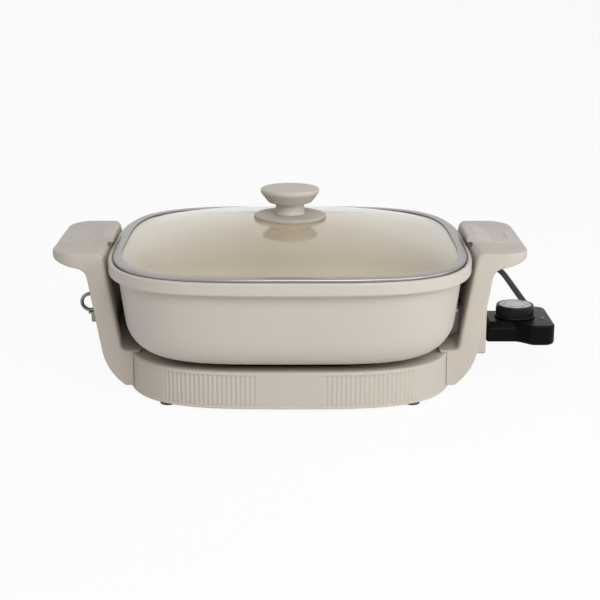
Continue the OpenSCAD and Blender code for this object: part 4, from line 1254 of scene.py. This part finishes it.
fastenerSizes = {
    "feet": (103, 104),
    "footRadius": 6.5,
    "footHeight": 3,
    "bracketScrews": (132, 39, 36.2),
    "trayScrews": (78.695, 78.695, 3),
    "controlScrews": [(183.118, -15.2), (183.118, 15.2), (223.118, -25.5), (223.118, 25.5)],
    "controlScrewZ": 32.9,
    "wellRadius": 2.8,
    "heads": {"bracket": (3, 3), "tray": (3.2, 2), "control": (2.6, 2.1)},  # radius, height
}


def onCorners(x, y, z):
    return [(sx * x, sy * y, z) for sx in (-1, 1) for sy in (-1, 1)]


def crossHead(r, h):
    # domed screw head standing on z = 0 with a cross cut into it
    corners = [(0, -0.4, 0), (r, -0.4, 0), (r, 0.35 * h, 0.3), (0.72 * r, h, 0.8 * r), (0, h, 0)]
    head = turned("screwHead", softOutline(corners, 6, False), steps=32)
    arm, thin = 0.55 * r, 0.11 * r
    cuts = [block((-x, -y, 0.45 * h), (x, y, h + 1)) for x, y in ((arm, thin), (thin, arm))]
    return cutAway(head, *cuts)


def setOnSpots(name, shape, spots, finish, turn=(0, 0, 0)):
    mesh = bpy.data.meshes.new(name)
    mesh.from_pydata([Vector(p) * mm for p in spots], [], [])
    piece = link(name, mesh)
    useTree(piece, onSpots, {"Shape": shape, "Turn": turn, "Finish": paint[finish]})
    bpy.data.objects.remove(shape)
    return shadeSmooth(piece)


def makeFoot(sizes):
    r, h = sizes["footRadius"], sizes["footHeight"]
    dent = [(0, 0.5, 0), (2.2, 0.5, 0.4), (2.8, 0, 0.4)]
    corners = dent + [(r - 0.7, 0, 0.5), (r, 0.8, 0.6), (r, h, 0), (0, h, 0)]
    return turned("foot", softOutline(corners, 5, False), steps=40)


feet = setOnSpots("rubberFeet", makeFoot(fastenerSizes), onCorners(*fastenerSizes["feet"], 0), "footRubber")
place(feet, "footRubber", "base", "foot_rubber", "rubber_feet")
upright, flipped = (0, 0, 0), (math.pi, 0, 0)
controlSpots = [(x, y, fastenerSizes["controlScrewZ"]) for x, y in fastenerSizes["controlScrews"]]
for kind, spots, turn, body in (
    ("bracket", onCorners(*fastenerSizes["bracketScrews"]), upright, "base"),
    ("tray", onCorners(*fastenerSizes["trayScrews"]), flipped, "base"),
    ("control", controlSpots, flipped, "control"),
):
    head = crossHead(*fastenerSizes["heads"][kind])
    screws = setOnSpots(kind + "Screws", head, spots, "screwSteel", turn)
    place(screws, "screwSteel", body, "screw_steel", kind + "_screws")
print("feet and screws set")

# heat control: two shells and a lens

controlSizes = {
    "from": 175.118, "to": 235.118, "neckHalf": 23.2, "headHalf": 34.5, "neckEnd": 202.718, "headX": 214.018,
    "low": 29.5, "top": 47.7, "split": 38.6, "neckCorner": 3, "bend": 8, "headCorner": 9,
    "topEdge": 1.6, "lowEdge": 3, "wall": 2.2, "bevelHeight": 5.6, "bevelSide": 5, "bevelEnd": 3.7,
    "spindle": 3.06, "lens": (227.118, -7.6), "lensRadius": 2.2, "lensRise": 0.2, "lensDome": 0.7,
}


def controlOutline(sizes, d, neckIn=None, endIn=None):
    # the head is drawn in by d, the neck's sides and its end by their own amounts
    side = d if neckIn is None else neckIn
    end = d if endIn is None else endIn
    x0, x1 = sizes["from"] + end, sizes["to"] - d
    head, neck = sizes["headHalf"] - d, sizes["neckHalf"] - side
    bend = sizes["neckEnd"] + math.sqrt(2) * d - side
    headX = sizes["headX"] + (math.sqrt(2) - 1) * d
    corner = max(2, sizes["headCorner"] - d)
    half = [
        (x0, -neck, max(0.5, sizes["neckCorner"] - end)),
        (bend, -neck, sizes["bend"] + d),
        (headX, -head, corner),
        (x1, -head, corner),
    ]
    return softOutline(half + [(x, -y, r) for x, y, r in reversed(half)], 12)


def outlineAt(sizes, d, z):
    return layer("z", z, controlOutline(sizes, d))


def bevelledAt(sizes, d, z, past=0.0):
    # share of the bevel that is gone at this height, eased where it starts
    run = (z - sizes["top"] + sizes["bevelHeight"]) / sizes["bevelHeight"]
    gone = 0.5 * (run + math.sqrt(run * run + 0.004))
    outline = controlOutline(sizes, d, sizes["bevelSide"] * gone + past, sizes["bevelEnd"] * gone + past)
    return layer("z", z, outline)


def makeUpperShell(sizes):
    edge, top = sizes["topEdge"], sizes["top"]
    bevelLow = top - sizes["bevelHeight"]
    rings = [outlineAt(sizes, 0.08, sizes["split"] + 0.02), outlineAt(sizes, 0, sizes["split"] + 0.12)]
    rings += [bevelledAt(sizes, 0, bevelLow + step) for step in (-0.9, -0.4, -0.1, 0.2, 0.6, 1.4)]
    rings += [bevelledAt(sizes, x, z) for x, z in arcPoints((edge, top - edge), edge, 180, 100, 8)]
    rings += [bevelledAt(sizes, edge, top, 0.3)]
    shell = loft("controlUpper", rings)
    hollow = prism(controlOutline(sizes, sizes["wall"] + edge / 3), "z", sizes["low"], bevelLow - 1)
    inside = controlOutline(sizes, sizes["wall"] + sizes["bevelSide"])
    upperHollow = prism(inside, "z", sizes["low"], top - sizes["wall"])
    holes = [(dialMid, sizes["spindle"]), (sizes["lens"], sizes["lensRadius"] + 0.1)]
    bores = [prism(arcPoints(spot, r, 0, 350, 35), "z", sizes["split"], top + 2) for spot, r in holes]
    return cutAway(shell, hollow, upperHollow, *bores)


def makeLowerShell(sizes):
    edge, low = sizes["lowEdge"], sizes["low"]
    rings = [outlineAt(sizes, x, z) for x, z in arcPoints((edge, low + edge), edge, 270, 180, 7)]
    rings += [outlineAt(sizes, 0, sizes["split"] - 0.12), outlineAt(sizes, 0.08, sizes["split"] - 0.02)]
    shell = loft("controlLower", rings)
    inside = controlOutline(sizes, sizes["wall"] + edge / 3)
    hollow = prism(inside, "z", low + sizes["wall"], sizes["split"] + 2)
    wells = []
    for spot in fastenerSizes["controlScrews"]:
        wells.append(prism(arcPoints(spot, fastenerSizes["wellRadius"], 0, 345, 23), "z", low - 1, low + 3))
    return cutAway(shell, hollow, *wells)


def makeLens(sizes):
    r, low, brim = sizes["lensRadius"], sizes["top"] - sizes["wall"], sizes["top"] + sizes["lensRise"]
    turn = [math.radians(15 * i) for i in range(6)]
    dome = [(r * math.cos(a), brim + sizes["lensDome"] * math.sin(a)) for a in turn]
    profile = [(0, low), (r, low)] + dome + [(0, brim + sizes["lensDome"])]
    return turned("indicatorLens", profile, sizes["lens"], 40)


place(makeUpperShell(controlSizes), "controlBlack", "control", "control_black", "control_upper")
place(makeLowerShell(controlSizes), "controlBlack", "control", "control_black", "control_lower")
place(makeLens(controlSizes), "indicatorRed", "control", "indicator_red", "indicator_lens")
print("control made")

# dial with its ribs, face, ticks and numbers

dialSizes = {
    "low": 48.2,
    "top": 59.1,
    "radius": 17.2,
    "skirtRadius": 18.1,
    "skirtHeight": 1.6,
    "ribs": 40,
    "ribDepth": 0.6,
    "ribWidth": 1.4,
    "ribTop": 56.5,
    "faceRadius": 14.6,
    "faceThick": 1,
    "faceSunk": 0.05,
    "hub": 3,
    "printDepth": (-0.02, 0.03),  # under and over the face
    "tickHalf": (0.75, 0.12),
    "ringLine": (9.6, 10),
    "tickPlaces": 36,
    "ticksUsed": 29,
    "tickRadius": 13.6,
    "numbers": ["0", "200", "250", "300", "350", "400"],
    "numberRadius": 11.4,
    "numberSize": 2.3,
    "numberThick": 0.05,
    "numberLift": 0.01,
    "numberSweep": 280,
}


def setRound(piece, shape, finish, places, used, radius, first):
    centre = Vector((*dialMid, 0)) * mm
    counts = {"Shape": shape, "Places": places, "Used": used, "Finish": paint[finish]}
    useTree(piece, onRound, {**counts, "Radius": radius * mm, "First Angle": first, "Centre": centre})
    bpy.data.objects.remove(shape)
    return shadeSmooth(piece)


def makeRib(sizes):
    # one bar, flat side towards the dial's middle
    half, deep = sizes["ribWidth"] / 2, sizes["ribDepth"]
    low, top = sizes["low"] + sizes["skirtHeight"] - 0.2, sizes["ribTop"]
    rings = []
    for z, share in ((low, 0.5), (low + 0.4, 1), (top - 0.6, 1), (top - 0.1, 0.4)):
        ring = [(-0.6, -half, z), (-0.6, half, z)]
        for i in range(6):
            a = math.radians(90 - 36 * i)
            ring.append((deep * share * math.cos(a), half * math.sin(a), z))
        rings.append(ring)
    return loft("rib", rings, angle=60)


def makeDial(sizes):
    r = sizes["radius"] - sizes["ribDepth"]
    low, top, face, skirt = sizes["low"], sizes["top"], sizes["faceRadius"] + 0.1, sizes["skirtRadius"]
    step, under, ribTop = low + sizes["skirtHeight"], top - sizes["faceThick"], sizes["ribTop"]
    profile = softOutline(
        [
            (sizes["hub"], low, 0), (skirt, low, 0.2), (skirt, step, 0.5), (r, step, 0.2),
            (r, ribTop - 0.3, 0.2), (r + 0.4, ribTop, 0.2), (r + 0.05, top, 1.2), (face, top, 0.3),
            (face, under, 0), (sizes["hub"], under, 0),
        ],
        6,
    )
    body = swept("dialBody", profile, dialMid, 120)
    return setRound(body, makeRib(sizes), "dialBlack", sizes["ribs"], sizes["ribs"], r, 0.0)


def makeDialFace(sizes):
    low, top, r = sizes["top"] - sizes["faceThick"], sizes["top"] - sizes["faceSunk"], sizes["faceRadius"]
    profile = [(0, low), (r - 0.05, low), (r - 0.05, top - 0.3), (r - 0.35, top), (0, top)]
    return turned("dialFace", profile, dialMid)


def makePrint(sizes):
    face = sizes["top"] - sizes["faceSunk"]
    low, high = (face + d for d in sizes["printDepth"])
    x, y = sizes["tickHalf"]
    tick = block((-x, -y, low), (x, y, high))
    first = math.radians(-90 - sizes["numberSweep"] / 2)
    ticks = link("dialPrint", bpy.data.meshes.new("dialPrint"))
    setRound(ticks, tick, "dialPrint", sizes["tickPlaces"], sizes["ticksUsed"], sizes["tickRadius"], first)
    inner, outer = sizes["ringLine"]
    flat = [(inner, low), (outer, low), (outer, high), (inner, high)]
    pieces = [ticks, swept("ringLine", flat, dialMid, 96)]
    for i, number in enumerate(sizes["numbers"]):
        a = first + math.radians(sizes["numberSweep"]) * i / (len(sizes["numbers"]) - 1)
        pieces.append(makeNumber(number, sizes, a, face + sizes["numberLift"]))
    return joined("dialPrint", pieces)


def makeNumber(number, sizes, a, z):
    text = bpy.data.curves.new("number", "FONT")
    text.body = number
    text.size = sizes["numberSize"] * mm
    text.align_x = "CENTER"
    text.align_y = "CENTER"
    text.extrude = sizes["numberThick"] / 2 * mm
    holder = link("number", text)
    mesh = plainMesh(holder)
    bpy.data.objects.remove(holder)
    r = sizes["numberRadius"]
    spot = Vector((dialMid[0] + r * math.cos(a), dialMid[1] + r * math.sin(a), z)) * mm
    mesh.transform(Matrix.Translation(spot) @ Matrix.Rotation(a - math.pi / 2, 4, "Z"))
    return closeUp(link("number", mesh))


place(makeDial(dialSizes), "dialBlack", "dial", "dial_black", "dial")
place(makeDialFace(dialSizes), "dialSilver", "dial", "dial_silver", "dial_face")
place(makePrint(dialSizes), "dialPrint", "dial", "dial_black")
print("dial made")

# inner parts keep their CAD shapes

nodeFinish = {
    "base_tray": "basePlastic",
    # the heat shield's black also paints the shade in the gap under the pan
    "heat_shield": "shieldBlackAndShade",
    "heating_element": "elementSteel",
    "terminal_pins": "brightMetal",
    "probe_sleeve": "brightMetal",
    "terminal_guard": "guardMetal",
    "knob_screw": "screwSteel",
    "knob_washer": "screwSteel",
    "control_nose": "phenolicBlack",
    "contact_clips": "contactBrass",
    "temperature_probe": "brightMetal",
    "thermostat": "thermostatGrey",
    "dial_spindle": "screwSteel",
}
for node, finish in nodeFinish.items():
    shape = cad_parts[node]
    shape.data.materials.clear()
    shape.data.materials.append(paint[finish])
print("inner parts painted:", len(nodeFinish))

# floor, lamps and world

stageLook = {
    "floorHalf": 14,  # metres
    "floorTone": (244, 243, 241),
    "shadowShare": 0.07,
    "horizon": 0.05,  # strength of the sky low down, and overhead
    "zenith": 0.41,
    "lamps": [  # name, place, target and size in metres, watts
        ("keyLamp", (0.3, -1.5, 1.3), (0, 0, 0.07), 0.9, 14.5),
        ("nearLamp", (0.75, -0.75, 0.45), (0.05, 0, 0.07), 0.5, 2.8),
        ("sideLamp", (1.9, -0.3, 0.6), (0.05, 0, 0.07), 0.9, 6),
        ("fillLamp", (-1.8, -1.3, 0.9), (-0.05, 0, 0.07), 1.2, 3.4),
        ("backLamp", (-0.8, 0.9, 2.4), (0, 0, 0.07), 1.2, 4),
    ],
}


def backgroundMask(tree):
    ray = setNode(tree, "ShaderNodeLightPath").outputs
    seen = calc(tree, "MAXIMUM", ray["Is Camera Ray"], ray["Is Glossy Ray"])
    return calc(tree, "MAXIMUM", seen, ray["Is Transmission Ray"])


def makeFloor(look):
    h = look["floorHalf"] / mm
    floor = meshFrom("studioFloor", [(-h, -h, 0), (h, -h, 0), (h, h, 0), (-h, h, 0)], [(0, 1, 2, 3)])
    material, tree, shader = newMaterial("studioFloor")
    tree.nodes.remove(shader)
    paper = noise(tree, objectPoint(tree), 6, 4)
    shade = setNode(tree, "ShaderNodeMapRange", {0: paper, 3: 0.985, 4: 1}).outputs[0]
    tinted = scaled(tree, tone(*look["floorTone"])[:3], shade)
    lit = setNode(tree, "ShaderNodeBsdfDiffuse", {"Color": tinted})
    white = setNode(tree, "ShaderNodeEmission", {"Color": (1, 1, 1, 1), "Strength": 1})
    share = calc(tree, "MULTIPLY", backgroundMask(tree), 1 - look["shadowShare"])
    both = setNode(tree, "ShaderNodeMixShader", {0: share, 1: lit.outputs[0], 2: white.outputs[0]})
    feed(tree, tree.nodes["Material Output"].inputs, {"Surface": both.outputs[0]})
    floor.data.materials.append(material)


def makeWorld(look):
    world = bpy.data.worlds.new("studio")
    scene.world = world
    world.use_nodes = True
    tree = world.node_tree
    skyward = setNode(tree, "ShaderNodeTexCoord").outputs["Generated"]
    height = setNode(tree, "ShaderNodeSeparateXYZ", {0: skyward}).outputs["Z"]
    limits = {0: height, 3: look["horizon"], 4: look["zenith"]}
    light = setNode(tree, "ShaderNodeMapRange", limits).outputs[0]
    strength = setNode(tree, "ShaderNodeMapRange", {0: backgroundMask(tree), 3: light, 4: 1}).outputs[0]
    feed(tree, tree.nodes["Background"].inputs, {"Color": (1, 1, 1, 1), "Strength": strength})


def makeLamps(look):
    for name, spot, target, size, watts in look["lamps"]:
        data = bpy.data.lights.new(name, "AREA")
        data.size = size
        data.energy = watts
        lamp = bpy.data.objects.new(name, data)
        lamp.location = spot
        lamp.rotation_euler = (Vector(target) - Vector(spot)).to_track_quat("-Z", "Y").to_euler()
        scene.collection.objects.link(lamp)


makeFloor(stageLook)
makeWorld(stageLook)
makeLamps(stageLook)
print("stage lit")
